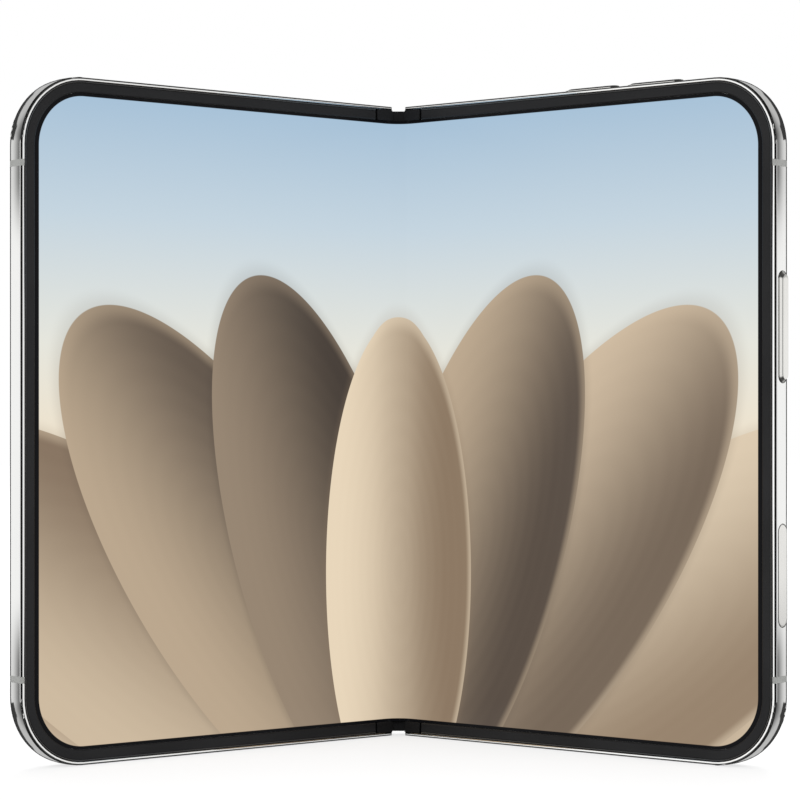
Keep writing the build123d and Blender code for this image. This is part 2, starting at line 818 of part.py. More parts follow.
def cover_screen():
    """Panel of the cover screen, behind the cover glass, with a hole for its camera."""
    edge = glass_rim + cover_screen_border
    y_span = (cover_screen_front_y, inner_back_y)
    panel = inset_slab(edge, web_outer_x + cover_screen_border, y_span, glass_rim)
    return panel - post(middle_x, cover_camera_z, cover_camera_radius + fit, (0, thickness))


def cover_camera():
    """Camera that looks through the cover glass."""
    return post(middle_x, cover_camera_z, cover_camera_radius, (inner_front_y, inner_back_y))


def sub_board():
    """Small circuit board at the top of the left half."""
    y_span = (inner_front_y, inner_front_y + board_thickness)
    board = slab((bay_inner_x, bay_outer_x), y_span, sub_board_z, box_corner_radius, box_corner_radius)
    return board - post(middle_x, cover_camera_z, cover_camera_radius + board_cutout_gap, (0, thickness))


def left_speaker():
    """Second loudspeaker, thinner than the first."""
    x_span = (strip_outer_x - speaker_length, strip_outer_x)
    return strip_box(x_span, left_back_y)


# ---------------------------------------------------------------- writing the nodes
def write_right_half():
    first_tooth = 180.0 - 360.0 / sector_teeth
    pieces = {
        "right_frame": [right_frame()],
        "right_antenna_bands": antenna_bands(),
        "right_bezel_ring": [bezel_ring()],
        "right_fold_pads": fold_pads(),
        "right_screen_panel": [screen_panel()],
        "right_midplate": [midplate()],
        "right_back_glass": [right_back_glass()],
        "right_battery": [battery(right_battery_back_y, right_battery_z)],
        "main_board": [main_board()],
        "board_shield": [board_shield()],
        "charging_coil": [charging_coil()],
        "usb_c_shell": [usb_shell()],
        "usb_c_tongue": [usb_tongue()],
        "right_speaker": [speaker()],
        "haptic_motor": [haptic_motor()],
        "camera_plateau": [camera_plateau()],
        "camera_lens_rings": lens_rings(),
        "camera_lens_glasses": lens_glasses(),
        "camera_modules": camera_modules(),
        "flash_window": [flash_window()],
        "button_switches": [button_switch(plane) for plane, _, _ in buttons.values()],
        "right_arm_screws": arm_screws(),
        "upper_right_hinge_arm": [hinge_arm(1, first_tooth)],
        "lower_right_hinge_arm": [hinge_arm(-1, first_tooth)],
    }
    for name, (plane, length, proud) in buttons.items():
        pieces[name] = [button(plane, length, proud)]
    for name, shapes in pieces.items():
        save(name, [on_right(shape) for shape in shapes])


def write_left_half():
    between_teeth = 180.0 - 180.0 / sector_teeth
    pieces = {
        "left_frame": [left_frame()],
        "left_antenna_bands": antenna_bands(),
        "left_bezel_ring": [bezel_ring()],
        "left_fold_pads": fold_pads(),
        "left_screen_panel": [screen_panel()],
        "left_midplate": [midplate()],
        "cover_glass": [back_glass()],
        "cover_screen_panel": [cover_screen()],
        "cover_camera": [cover_camera()],
        "left_battery": [battery(left_back_y, (strip_top_z + strip_gap, sub_board_z[0] - strip_gap))],
        "sub_board": [sub_board()],
        "left_speaker": [left_speaker()],
        "left_arm_screws": arm_screws(),
        "upper_left_hinge_arm": [hinge_arm(1, between_teeth)],
        "lower_left_hinge_arm": [hinge_arm(-1, between_teeth)],
    }
    for name, shapes in pieces.items():
        save(name, [on_left(shape) for shape in shapes])


def write_spine():
    pieces = {
        "spine_cover": [spine_cover()],
        "spine_end_caps": end_caps(),
        "upper_hinge_bracket": [hinge_bracket(1)],
        "lower_hinge_bracket": [hinge_bracket(-1)],
        "hinge_pins": hinge_pins(),
        "friction_springs": friction_springs(),
        "spine_screws": spine_screws(),
        "screen_fold": [screen_fold()],
        "flex_cables": flex_cables(),
        "upper_right_pinion": [hinge_pinion(1, 1)],
        "upper_left_pinion": [hinge_pinion(1, -1)],
        "lower_right_pinion": [hinge_pinion(-1, 1)],
        "lower_left_pinion": [hinge_pinion(-1, -1)],
    }
    for name, shapes in pieces.items():
        save(name, [on_spine(shape) for shape in shapes])


write_right_half()
write_left_half()
write_spine()
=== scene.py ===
"""Dressed foldable smartphone, standing half open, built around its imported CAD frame.

Each half is drawn in its own flat frame: X runs from the spine outward, Y from the inner screen's
rim to the back, Z up from the bottom edge.  A FlatFrame carries it to its place.  Lengths are metres.
"""

import json
import logging
import math
from abc import ABC, abstractmethod
from collections.abc import Callable, Iterable, Mapping, Sequence
from dataclasses import dataclass, field
from enum import Enum
from typing import Any, ClassVar

import bmesh
import bpy
from mathutils import Matrix, Vector

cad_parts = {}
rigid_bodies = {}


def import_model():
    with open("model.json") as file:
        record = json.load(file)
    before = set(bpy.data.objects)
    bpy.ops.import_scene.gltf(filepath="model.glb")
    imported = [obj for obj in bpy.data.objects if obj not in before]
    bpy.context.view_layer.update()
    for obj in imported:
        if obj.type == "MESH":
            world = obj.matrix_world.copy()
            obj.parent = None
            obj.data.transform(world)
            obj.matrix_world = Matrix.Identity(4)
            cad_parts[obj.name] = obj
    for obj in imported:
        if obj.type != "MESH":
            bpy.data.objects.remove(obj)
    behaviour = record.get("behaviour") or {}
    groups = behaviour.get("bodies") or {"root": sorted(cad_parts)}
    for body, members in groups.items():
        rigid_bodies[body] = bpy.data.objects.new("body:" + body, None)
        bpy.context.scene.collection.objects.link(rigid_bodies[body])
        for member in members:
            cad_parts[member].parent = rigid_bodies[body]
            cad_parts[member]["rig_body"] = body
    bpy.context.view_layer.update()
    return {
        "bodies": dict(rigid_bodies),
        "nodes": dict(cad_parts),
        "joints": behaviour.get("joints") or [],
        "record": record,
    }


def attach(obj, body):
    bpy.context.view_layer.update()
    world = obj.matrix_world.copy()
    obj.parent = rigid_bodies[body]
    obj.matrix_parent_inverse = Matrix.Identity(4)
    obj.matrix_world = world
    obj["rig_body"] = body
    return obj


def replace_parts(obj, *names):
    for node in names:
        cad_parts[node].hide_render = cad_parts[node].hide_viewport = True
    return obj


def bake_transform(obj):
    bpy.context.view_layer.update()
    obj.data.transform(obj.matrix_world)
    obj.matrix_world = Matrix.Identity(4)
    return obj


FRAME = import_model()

MM = 0.001
MERGE_DISTANCE = 0.0005 * MM
CRISP = 38.0  # degrees between the faces of a CAD edge above which it is eased and stays sharp

Colour = tuple[float, float, float]
Corner = tuple[Vector, float]
log = logging.getLogger("phone")


def rgba(colour: Colour) -> tuple[float, float, float, float]:
    """The colour as an opaque RGBA value."""
    return (*colour, 1.0)


def linear(red: int, green: int, blue: int) -> Colour:
    """Turns a display colour of 0 to 255 into the linear colour that a shader takes.

    Args:
        red: display red.
        green: display green.
        blue: display blue.

    Returns:
        The three linear values.
    """
    def channel(level: int) -> float:
        """One channel of the sRGB curve."""
        share = level / 255
        return share / 12.92 if share <= 0.04045 else ((share + 0.055) / 1.055) ** 2.4

    return channel(red), channel(green), channel(blue)


# ------------------------------------------------------------------ places
class Side(Enum):
    """The two halves, named as the viewer of the inner screen sees them."""

    RIGHT = 1
    LEFT = -1

    @property
    def word(self) -> str:
        """The side's name inside node and body names."""
        return self.name.lower()

    @property
    def body(self) -> str:
        """The CAD body of this half."""
        return f"{self.word}_half"

    @property
    def mirror(self) -> Matrix:
        """Carries what is drawn for the right half to this side."""
        return Matrix.Scale(self.value, 4, (1, 0, 0))


@dataclass(frozen=True)
class FlatFrame:
    """Flat drawing frame of one half.

    Attributes:
        side: which half.
        pin: the right half's hinge axis, as X and Y in the row frame.
        turn: angle by which the half is turned from lying flat.
        pin_depth: how far the hinge axis lies behind the inner screen's rim.
    """

    side: Side
    pin: tuple[float, float]
    turn: float
    pin_depth: float = 2.0 * MM

    @classmethod
    def of(cls, side: Side, frame: Mapping[str, Any]) -> "FlatFrame":
        """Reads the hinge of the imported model.

        Args:
            side: which half.

        Returns:
            The flat frame of that half.
        """
        fold = next(joint for joint in frame["joints"] if joint["name"] == "right_fold")
        x, y, _ = fold["pos_m"]
        return cls(side, (x, y), math.radians(fold["range_deg"][1]))

    @property
    def matrix(self) -> Matrix:
        """Carries flat coordinates to the row frame."""
        x, y = self.pin
        turned = (
            Matrix.Translation((x, y, 0))
            @ Matrix.Rotation(-self.turn, 4, "Z")
            @ Matrix.Translation((-x, -self.pin_depth, 0))
        )
        return self.side.mirror @ turned

    def extent(self, node: str) -> tuple[Vector, Vector]:
        """Box of a CAD node, measured in the flat frame.

        Args:
            node: name of the CAD node.

        Returns:
            Its lowest and highest corner.
        """
        back = self.matrix.inverted()
        points = [back @ v.co for v in bpy.data.objects[node].data.vertices]
        low = Vector(min(p[axis] for p in points) for axis in range(3))
        high = Vector(max(p[axis] for p in points) for axis in range(3))
        return low, high


@dataclass(frozen=True)
class Outline:
    """Outer form of one half in its flat frame: a crowned side between two rounded edges.

    Attributes:
        outer: X of the outer edge.
        height: height of the half.
        thickness: thickness of the half.
        corner: corner radius, seen from the front.
        front: radius that the CAD side has towards the lip.
        back: radius that the CAD side has towards the rear.
        front_run: depth over which the finished side turns to the lip.
        back_run: depth over which it turns to the rear.
        quick: power that lets the turn start fast.
        crown: how far the side's edges fall back behind its middle.
        tilt: lean of the surface at the side's edges, in degrees.
        near: how close a point must be to count as on the surface.
        turn_cuts: shares of a turn's depth at which it is cut.
        side_cuts: shares of the crowned side at which it is cut.
    """

    outer: float
    height: float
    thickness: float
    corner: float = 12.5 * MM
    front: float = 0.35 * MM
    back: float = 0.6 * MM
    front_run: float = 0.6 * MM
    back_run: float = 0.85 * MM
    quick: float = 0.65
    crown: float = 0.05 * MM
    tilt: float = 7.7
    near: float = 0.025 * MM
    turn_cuts: tuple[float, ...] = (0.07, 0.17, 0.3, 0.45, 0.67, 0.8, 0.92, 1.0)
    side_cuts: tuple[float, ...] = (0.25, 0.5, 0.75)

    @property
    def half_side(self) -> float:
        """Half the depth of the crowned side between its two turns."""
        return (self.thickness - self.front_run - self.back_run) / 2

    @property
    def middle(self) -> float:
        """Depth of the side's middle."""
        return self.front_run + self.half_side

    @property
    def cuts(self) -> list[float]:
        """Depths at which the side is cut into strips."""
        run, rear = self.front_run, self.back_run
        plain = [run + 2 * self.half_side * share for share in self.side_cuts]
        ends = [self.thickness - rear * share for share in self.turn_cuts]
        return [run * share for share in self.turn_cuts] + plain + ends

    def outward(self, point: Vector) -> tuple[Vector, float]:
        """Finds the nearest edge.

        Args:
            point: a point of the half.

        Returns:
            The direction to the edge, seen from the front, and the distance in from it.
        """
        across = point.x - self.outer + self.corner
        above = max(point.z - self.height + self.corner, 0.0) + min(point.z - self.corner, 0.0)
        if across > 0 and above != 0:
            way = Vector((across, 0, above))
            return way.normalized(), self.corner - way.length
        choices = (
            (self.outer - point.x, Vector((1, 0, 0))),
            (point.z, Vector((0, 0, -1))),
            (self.height - point.z, Vector((0, 0, 1))),
        )
        inset, way = min(choices, key=lambda choice: choice[0])
        return way, inset

    def _turning(self, ahead: bool) -> tuple[float, float]:
        """The CAD radius and the finished run, of the turn to the lip or to the rear."""
        return (self.front, self.front_run) if ahead else (self.back, self.back_run)

    def _share(self, depth: float, inset: float) -> float | None:
        """Finds how far a point has turned.

        Args:
            depth: the point's Y.
            inset: its distance in from the edge.

        Returns:
            From 0 on the side to -1 at the lip or 1 at the rear, or None off the surface.
        """
        ahead = depth < self.middle
        radius, run = self._turning(ahead)
        edge = depth if ahead else self.thickness - depth
        if edge >= radius:
            if abs(inset) > self.near:
                return None
            arc = max(run - edge, 0.0)
        else:
            over, aside = radius - edge, radius - inset
            if aside < -self.near or abs(math.hypot(over, aside) - radius) > self.near:
                return None
            arc = run - radius + radius * math.atan2(over, max(aside, 0.0))
        return (-1 if ahead else 1) * arc / (run - radius + radius * math.pi / 2)

    def formed(self, point: Vector) -> tuple[Vector, float] | None:
        """Carries a point of the CAD surface to the crowned surface.

        Args:
            point: the point in the flat frame.

        Returns:
            Its new place and the surface's lean towards the rear there, or None off the surface.
        """
        way, inset = self.outward(point)
        share = self._share(point.y, inset)
        if share is None:
            return None
        tilt = math.radians(self.tilt)
        if share == 0:
            off = (point.y - self.middle) / self.half_side
            return point - way * self.crown * off * off, tilt * off
        ahead = share < 0
        radius, run = self._turning(ahead)
        turn = abs(share) * math.pi / 2
        depth = run * (1 - math.sin(turn))
        drawn = self.crown + radius * (1 - math.cos(turn))
        place = point + way * (inset - drawn)
        place.y = depth if ahead else self.thickness - depth
        lean = tilt + (math.pi / 2 - tilt) * abs(share) ** self.quick
        return place, -lean if ahead else lean

    def facing(self, point: Vector, lean: float) -> Vector:
        """Direction that the crowned surface faces at a point with a given lean."""
        way, _ = self.outward(point)
        return way * math.cos(lean) + Vector((0, math.sin(lean), 0))


# ------------------------------------------------------------------ node graphs
class Graph:
    """Adds and wires the nodes of one material, world or group."""

    def __init__(self, tree: bpy.types.NodeTree) -> None:
        """Keeps the tree that the nodes go into."""
        self.tree = tree

    def feed(self, node: bpy.types.Node, inputs: Mapping[Any, Any]) -> None:
        """Sets or links a node's inputs.

        Args:
            node: the node.
            inputs: value or incoming socket for each input, by name or number.
        """
        for key, value in inputs.items():
            if isinstance(value, bpy.types.NodeSocket):
                self.tree.links.new(value, node.inputs[key])
            else:
                node.inputs[key].default_value = value

    def add(self, kind: str, inputs: Mapping[Any, Any] | None = None, **settings: Any) -> bpy.types.Node:
        """Adds one node.

        Args:
            kind: the node's type name.
            inputs: value or incoming socket for each input, by name or number.
            settings: properties of the node itself.

        Returns:
            The new node.
        """
        node = self.tree.nodes.new(kind)
        for name, value in settings.items():
            setattr(node, name, value)
        self.feed(node, inputs or {})
        return node

    def group(self, tree: bpy.types.NodeTree, **inputs: Any) -> bpy.types.NodeSocket:
        """First output of a node group."""
        return self.add("ShaderNodeGroup", inputs, node_tree=tree).outputs[0]

    def coordinates(self, kind: str) -> bpy.types.NodeSocket:
        """Texture coordinates of a kind."""
        return self.add("ShaderNodeTexCoord").outputs[kind]

    def split(self, vector: Any) -> Sequence[bpy.types.NodeSocket]:
        """The three parts of a vector."""
        return self.add("ShaderNodeSeparateXYZ", {0: vector}).outputs

    def calc(self, operation: str, *values: Any, clamp: bool = False) -> bpy.types.NodeSocket:
        """Result of a Math node on the values."""
        inputs = dict(enumerate(values))
        return self.add("ShaderNodeMath", inputs, operation=operation, use_clamp=clamp).outputs[0]

    def length(self, *parts: Any) -> bpy.types.NodeSocket:
        """Length of the vector that two parts make."""
        return self.calc("SQRT", self.calc("ADD", *[self.calc("MULTIPLY", part, part) for part in parts]))

    def blend(self, share: Any, low: Any, high: Any) -> bpy.types.NodeSocket:
        """Colour between low and high."""
        return self.add("ShaderNodeMix", {0: share, 6: low, 7: high}, data_type="RGBA").outputs[2]

    def span(
        self, value: Any, start: float, end: float, low: Any = 0.0, high: Any = 1.0
    ) -> bpy.types.NodeSocket:
        """Value carried smoothly from start..end to low..high."""
        inputs = {"Value": value, "From Min": start, "From Max": end, "To Min": low, "To Max": high}
        return self.add("ShaderNodeMapRange", inputs, interpolation_type="SMOOTHSTEP").outputs[0]

    def above(self, value: Any, level: float, soft: float) -> bpy.types.NodeSocket:
        """1 above a level and 0 below it, with a soft change."""
        return self.span(value, level - soft, level + soft)

    def below(self, value: Any, level: float, soft: float) -> bpy.types.NodeSocket:
        """1 below a level and 0 above it, with a soft change."""
        return self.span(value, level + soft, level - soft)

    def noise(self, vector: Any, scale: Any, detail: float = 2.0) -> bpy.types.NodeSocket:
        """Noise from 0 to 1."""
        return self.add("ShaderNodeTexNoise", {"Vector": vector, "Scale": scale, "Detail": detail}).outputs[0]

    def relief(self, height: Any, strength: float, depth: float) -> bpy.types.NodeSocket:
        """Normal of a surface with a fine relief."""
        inputs = {"Height": height, "Strength": strength, "Distance": depth}
        return self.add("ShaderNodeBump", inputs).outputs[0]

    def ramp(self, share: Any, stops: Sequence[tuple[float, Colour]]) -> bpy.types.NodeSocket:
        """Colour at share along a ramp.

        Args:
            share: position from 0 to 1.
            stops: position and colour of each stop.

        Returns:
            The colour socket.
        """
        node = self.add("ShaderNodeValToRGB", {0: share})
        elements = node.color_ramp.elements
        for element, (place, colour) in zip(elements, (stops[0], stops[-1])):
            element.position, element.color = place, rgba(colour)
        for place, colour in stops[1:-1]:
            elements.new(place).color = rgba(colour)
        return node.outputs[0]


def new_group(name: str, inputs: Mapping[str, Any], output: str, kind: str) -> tuple[Graph, Any, Any]:
    """Starts a shader node group with one output.

    Args:
        name: the group's name.
        inputs: default of each input; a tuple of three is a vector, of four a colour.
        output: name of the output.
        kind: socket type of the output.

    Returns:
        The group's graph, its input sockets and its output node.
    """
    tree = bpy.data.node_groups.new(name, "ShaderNodeTree")
    for label, default in inputs.items():
        if isinstance(default, tuple):
            given = "NodeSocketVector" if len(default) == 3 else "NodeSocketColor"
        else:
            given = "NodeSocketFloat"
        socket = tree.interface.new_socket(name=label, in_out="INPUT", socket_type=given)
        socket.default_value = default
    tree.interface.new_socket(name=output, in_out="OUTPUT", socket_type=kind)
    graph = Graph(tree)
    return graph, graph.add("NodeGroupInput").outputs, graph.add("NodeGroupOutput")


class Effects:
    """Node groups that several finishes share, each built once.

    Attributes:
        COARSE: scale of the grain's coarse part, as a share of its fine part.
        FINE_SHARE: weight of the grain's fine part.
        GRAIN: noise between which the grain goes from 0 to 1.
        CLOUDS: handling marks per metre, and their detail.
        HANDLED: noise between which a surface goes from clean to handled.
        LINE_DETAIL: detail of the drawn lines.
        LEAN: places across a petal between which it turns from lit to shaded.
        RIPPLES: how dense a petal's ripples are, and how strong.
        RIM: where a petal's edge lights up, and how much.
        CAST: where the shadow beneath a petal fades, and how dark it is.
        END: where a petal ends, softly.
    """

    COARSE: ClassVar[float] = 0.23
    FINE_SHARE: ClassVar[float] = 0.6
    GRAIN: ClassVar[tuple[float, float]] = (0.3, 0.7)
    CLOUDS: ClassVar[tuple[float, float]] = (55.0, 4.0)
    HANDLED: ClassVar[tuple[float, float]] = (0.35, 0.7)
    LINE_DETAIL: ClassVar[float] = 3.0
    LEAN: ClassVar[tuple[float, float]] = (-0.9, 0.75)
    RIPPLES: ClassVar[tuple[float, float]] = (60.0, 0.006)
    RIM: ClassVar[tuple[float, ...]] = (0.93, 1.0, 0.0, 0.45)
    CAST: ClassVar[tuple[float, ...]] = (0.98, 1.07, 0.2, 0.0)
    END: ClassVar[tuple[float, float]] = (1.002, 0.998)

    def __init__(self) -> None:
        """Builds every group."""
        self.grain = self._grain()
        self.handling = self._handling()
        self.brushing = self._brushing()
        self.petal = self._petal()

    def _grain(self) -> bpy.types.NodeTree:
        """Fine grain of moulded or blasted surfaces."""
        inputs = {"Vector": (0.0, 0.0, 0.0), "Scale": 9000.0}
        graph, given, made = new_group("fine_grain", inputs, "Mask", "NodeSocketFloat")
        fine = graph.noise(given["Vector"], given["Scale"])
        coarse = graph.noise(given["Vector"], graph.calc("MULTIPLY", given["Scale"], self.COARSE))
        weighted = graph.calc("MULTIPLY", fine, self.FINE_SHARE)
        mixed = graph.calc("MULTIPLY_ADD", coarse, 1 - self.FINE_SHARE, weighted)
        graph.feed(made, {"Mask": graph.span(mixed, *self.GRAIN)})
        return graph.tree

    def _handling(self) -> bpy.types.NodeTree:
        """Roughness that varies softly, as on a surface that was wiped and touched."""
        inputs = {"Vector": (0.0, 0.0, 0.0), "Smooth": 0.1, "Rough": 0.2}
        graph, given, made = new_group("handling", inputs, "Roughness", "NodeSocketFloat")
        cloud = graph.noise(given["Vector"], *self.CLOUDS)
        graph.feed(made, {"Roughness": graph.span(cloud, *self.HANDLED, given["Smooth"], given["Rough"])})
        return graph.tree

    def _brushing(self) -> bpy.types.NodeTree:
        """Fine drawn lines; a small density along an axis makes the lines long on it."""
        inputs = {"Vector": (0.0, 0.0, 0.0), "Density": (9000.0, 9000.0, 60.0)}
        graph, given, made = new_group("brushing", inputs, "Mask", "NodeSocketFloat")
        factors = {0: given["Vector"], 1: given["Density"]}
        drawn = graph.add("ShaderNodeVectorMath", factors, operation="MULTIPLY").outputs[0]
        graph.feed(made, {"Mask": graph.noise(drawn, 1.0, self.LINE_DETAIL)})
        return graph.tree

    def _petal(self) -> bpy.types.NodeTree:
        """One rounded paper petal with faint ripples, laid over the colour beneath it."""
        inputs = {
            "Point": (0.0, 0.0, 0.0),
            "Angle": 0.0,
            "Length": 2.0,
            "Width": 0.3,
            "Lit": (1.0, 1.0, 1.0, 1.0),
            "Shaded": (0.5, 0.5, 0.5, 1.0),
            "Beneath": (0.0, 0.0, 0.0, 1.0),
        }
        graph, given, made = new_group("petal", inputs, "Colour", "NodeSocketColor")
        turn = {"Vector": given["Point"], "Angle": given["Angle"]}
        turned = graph.add("ShaderNodeVectorRotate", turn, rotation_type="Z_AXIS").outputs[0]
        across, along, _ = graph.split(turned)
        half = graph.calc("MULTIPLY", given["Length"], 0.5)
        side = graph.calc("DIVIDE", across, given["Width"])
        reach = graph.length(side, graph.calc("DIVIDE", graph.calc("SUBTRACT", along, half), half))
        density, strength = self.RIPPLES
        ripple = graph.calc("SINE", graph.calc("MULTIPLY", reach, density))
        shade = graph.calc("MULTIPLY_ADD", ripple, strength, graph.span(side, *self.LEAN), clamp=True)
        face = graph.blend(shade, given["Lit"], given["Shaded"])
        face = graph.blend(graph.span(reach, *self.RIM), face, given["Lit"])
        ground = graph.blend(graph.span(reach, *self.CAST), given["Beneath"], given["Shaded"])
        graph.feed(made, {"Colour": graph.blend(graph.span(reach, *self.END), ground, face)})
        return graph.tree


# ------------------------------------------------------------------ finishes
def new_material(name: str) -> tuple[bpy.types.Material, Graph, bpy.types.Node]:
    """Starts a material with only its shader.

    Args:
        name: the material's name.

    Returns:
        The material, its graph and its Principled BSDF node.
    """
    material = bpy.data.materials.new(name)
    material.use_nodes = True
    material.node_tree.nodes.clear()
    graph = Graph(material.node_tree)
    shader = graph.add("ShaderNodeBsdfPrincipled")
    graph.add("ShaderNodeOutputMaterial", {0: shader.outputs[0]})
    return material, graph, shader


class Recipe(ABC):
    """A kind of material whose roughness varies with handling.

    Attributes:
        smooth: roughness where it is cleanest.
        rough: roughness where it is most handled.
    """

    smooth: float
    rough: float

    @abstractmethod
    def inputs(self, graph: Graph, place: bpy.types.NodeSocket, effects: Effects) -> dict[str, Any]:
        """Gives the shader's other inputs.

        Args:
            graph: the material's graph.
            place: object coordinates.
            effects: the shared node groups.

        Returns:
            Value or socket of each input, by name.
        """

    def make(self, name: str, effects: Effects) -> bpy.types.Material:
        """Builds the material.

        Args:
            name: the material's name.
            effects: the shared node groups.

        Returns:
            The finished material.
        """
        material, graph, shader = new_material(name)
        place = graph.coordinates("Object")
        worn = graph.group(effects.handling, Vector=place, Smooth=self.smooth, Rough=self.rough)
        graph.feed(shader, {"Roughness": worn, **self.inputs(graph, place, effects)})
        return material


@dataclass(frozen=True)
class Metal(Recipe):
    """Drawn, polished or machined metal.

    Attributes:
        colour: colour of the reflection.
        smooth: roughness where it is cleanest.
        rough: roughness where it is most handled.
        density: lines per metre along each axis.
        relief: strength of the lines' relief.
        tone: share by which the lines darken the colour.
        lines: mask values between which a line darkens.
        depth: depth of the lines at full strength.
    """

    colour: Colour
    smooth: float
    rough: float
    density: tuple[float, float, float] = (9000.0, 9000.0, 60.0)
    relief: float = 0.02
    tone: float = 0.12
    lines: tuple[float, float] = (0.42, 0.75)
    depth: float = 0.02 * MM

    def inputs(self, graph: Graph, place: bpy.types.NodeSocket, effects: Effects) -> dict[str, Any]:
        """Colour and relief of the drawn lines."""
        mask = graph.group(effects.brushing, Vector=place, Density=self.density)
        darker = tuple(level * (1 - self.tone) for level in self.colour)
        tint = graph.blend(graph.span(mask, *self.lines), rgba(self.colour), rgba(darker))
        return {"Base Color": tint, "Normal": graph.relief(mask, self.relief, self.depth), "Metallic": 1.0}


@dataclass(frozen=True)
class Moulded(Recipe):
    """Moulded plastic, glass, rubber or enamel with a fine grain.

    Attributes:
        colour: colour of the body.
        second: colour that the grain mixes in.
        smooth: roughness where it is cleanest.
        rough: roughness where it is most handled.
        scale: grain per metre.
        relief: strength of the grain's relief.
        specular: specular level of the shader.
        coat: weight of a clear coat.
        coat_roughness: roughness of the clear coat.
        depth: depth of the grain at full strength.
    """

    colour: Colour
    second: Colour
    smooth: float
    rough: float
    scale: float = 9000.0
    relief: float = 0.15
    specular: float = 0.5
    coat: float = 0.0
    coat_roughness: float = 0.04
    depth: float = 0.01 * MM

    def inputs(self, graph: Graph, place: bpy.types.NodeSocket, effects: Effects) -> dict[str, Any]:
        """Colour, relief and gloss of the grained surface."""
        grain = graph.group(effects.grain, Vector=place, Scale=self.scale)
        return {
            "Base Color": graph.blend(grain, rgba(self.colour), rgba(self.second)),
            "Normal": graph.relief(grain, self.relief, self.depth),
            "Specular IOR Level": self.specular,
            "Coat Weight": self.coat,
            "Coat Roughness": self.coat_roughness,
        }


@dataclass(frozen=True)
class Traced(Recipe):
    """Circuit board: solder mask over copper traces, with pads.

    Attributes:
        mask: colour of the solder mask.
        trace: colour of the mask where copper runs under it.
        pad: colour of the bare pads.
        smooth: roughness where it is cleanest.
        rough: roughness where it is most handled.
        cells: fields between traces per metre.
        line: distances from a trace between which it fades.
        pads: pads per metre.
        order: how far the pads stray from their grid.
        dot: distances from a pad's middle between which it fades.
    """

    mask: Colour
    trace: Colour
    pad: Colour
    smooth: float = 0.25
    rough: float = 0.4
    cells: float = 420.0
    line: tuple[float, float] = (0.05, 0.08)
    pads: float = 600.0
    order: float = 0.15
    dot: tuple[float, float] = (0.16, 0.12)

    def inputs(self, graph: Graph, place: bpy.types.NodeSocket, effects: Effects) -> dict[str, Any]:
        """Colours of mask, traces and pads, with bare metal on the pads."""
        cells = graph.add(
            "ShaderNodeTexVoronoi",
            {"Vector": place, "Scale": self.cells},
            distance="MANHATTAN",
            feature="DISTANCE_TO_EDGE",
        ).outputs[0]
        grid = {"Vector": place, "Scale": self.pads, "Randomness": self.order}
        dot = graph.span(graph.add("ShaderNodeTexVoronoi", grid).outputs[0], *self.dot)
        base = graph.blend(graph.span(cells, *self.line), rgba(self.trace), rgba(self.mask))
        return {"Base Color": graph.blend(dot, base, rgba(self.pad)), "Metallic": dot}


@dataclass(frozen=True)
class Stop:
    """One colour of the picture's sky: how high it is and which colour it has."""

    height: float
    colour: Colour


@dataclass(frozen=True)
class Petal:
    """One petal of the picture.

    Attributes:
        angle: lean from upright, in degrees, clockwise.
        length: length in half picture heights.
        width: half width in half picture heights.
        lit: colour of its lit side.
        shaded: colour of its shaded side.
    """

    angle: float
    length: float
    width: float
    lit: Colour
    shaded: Colour


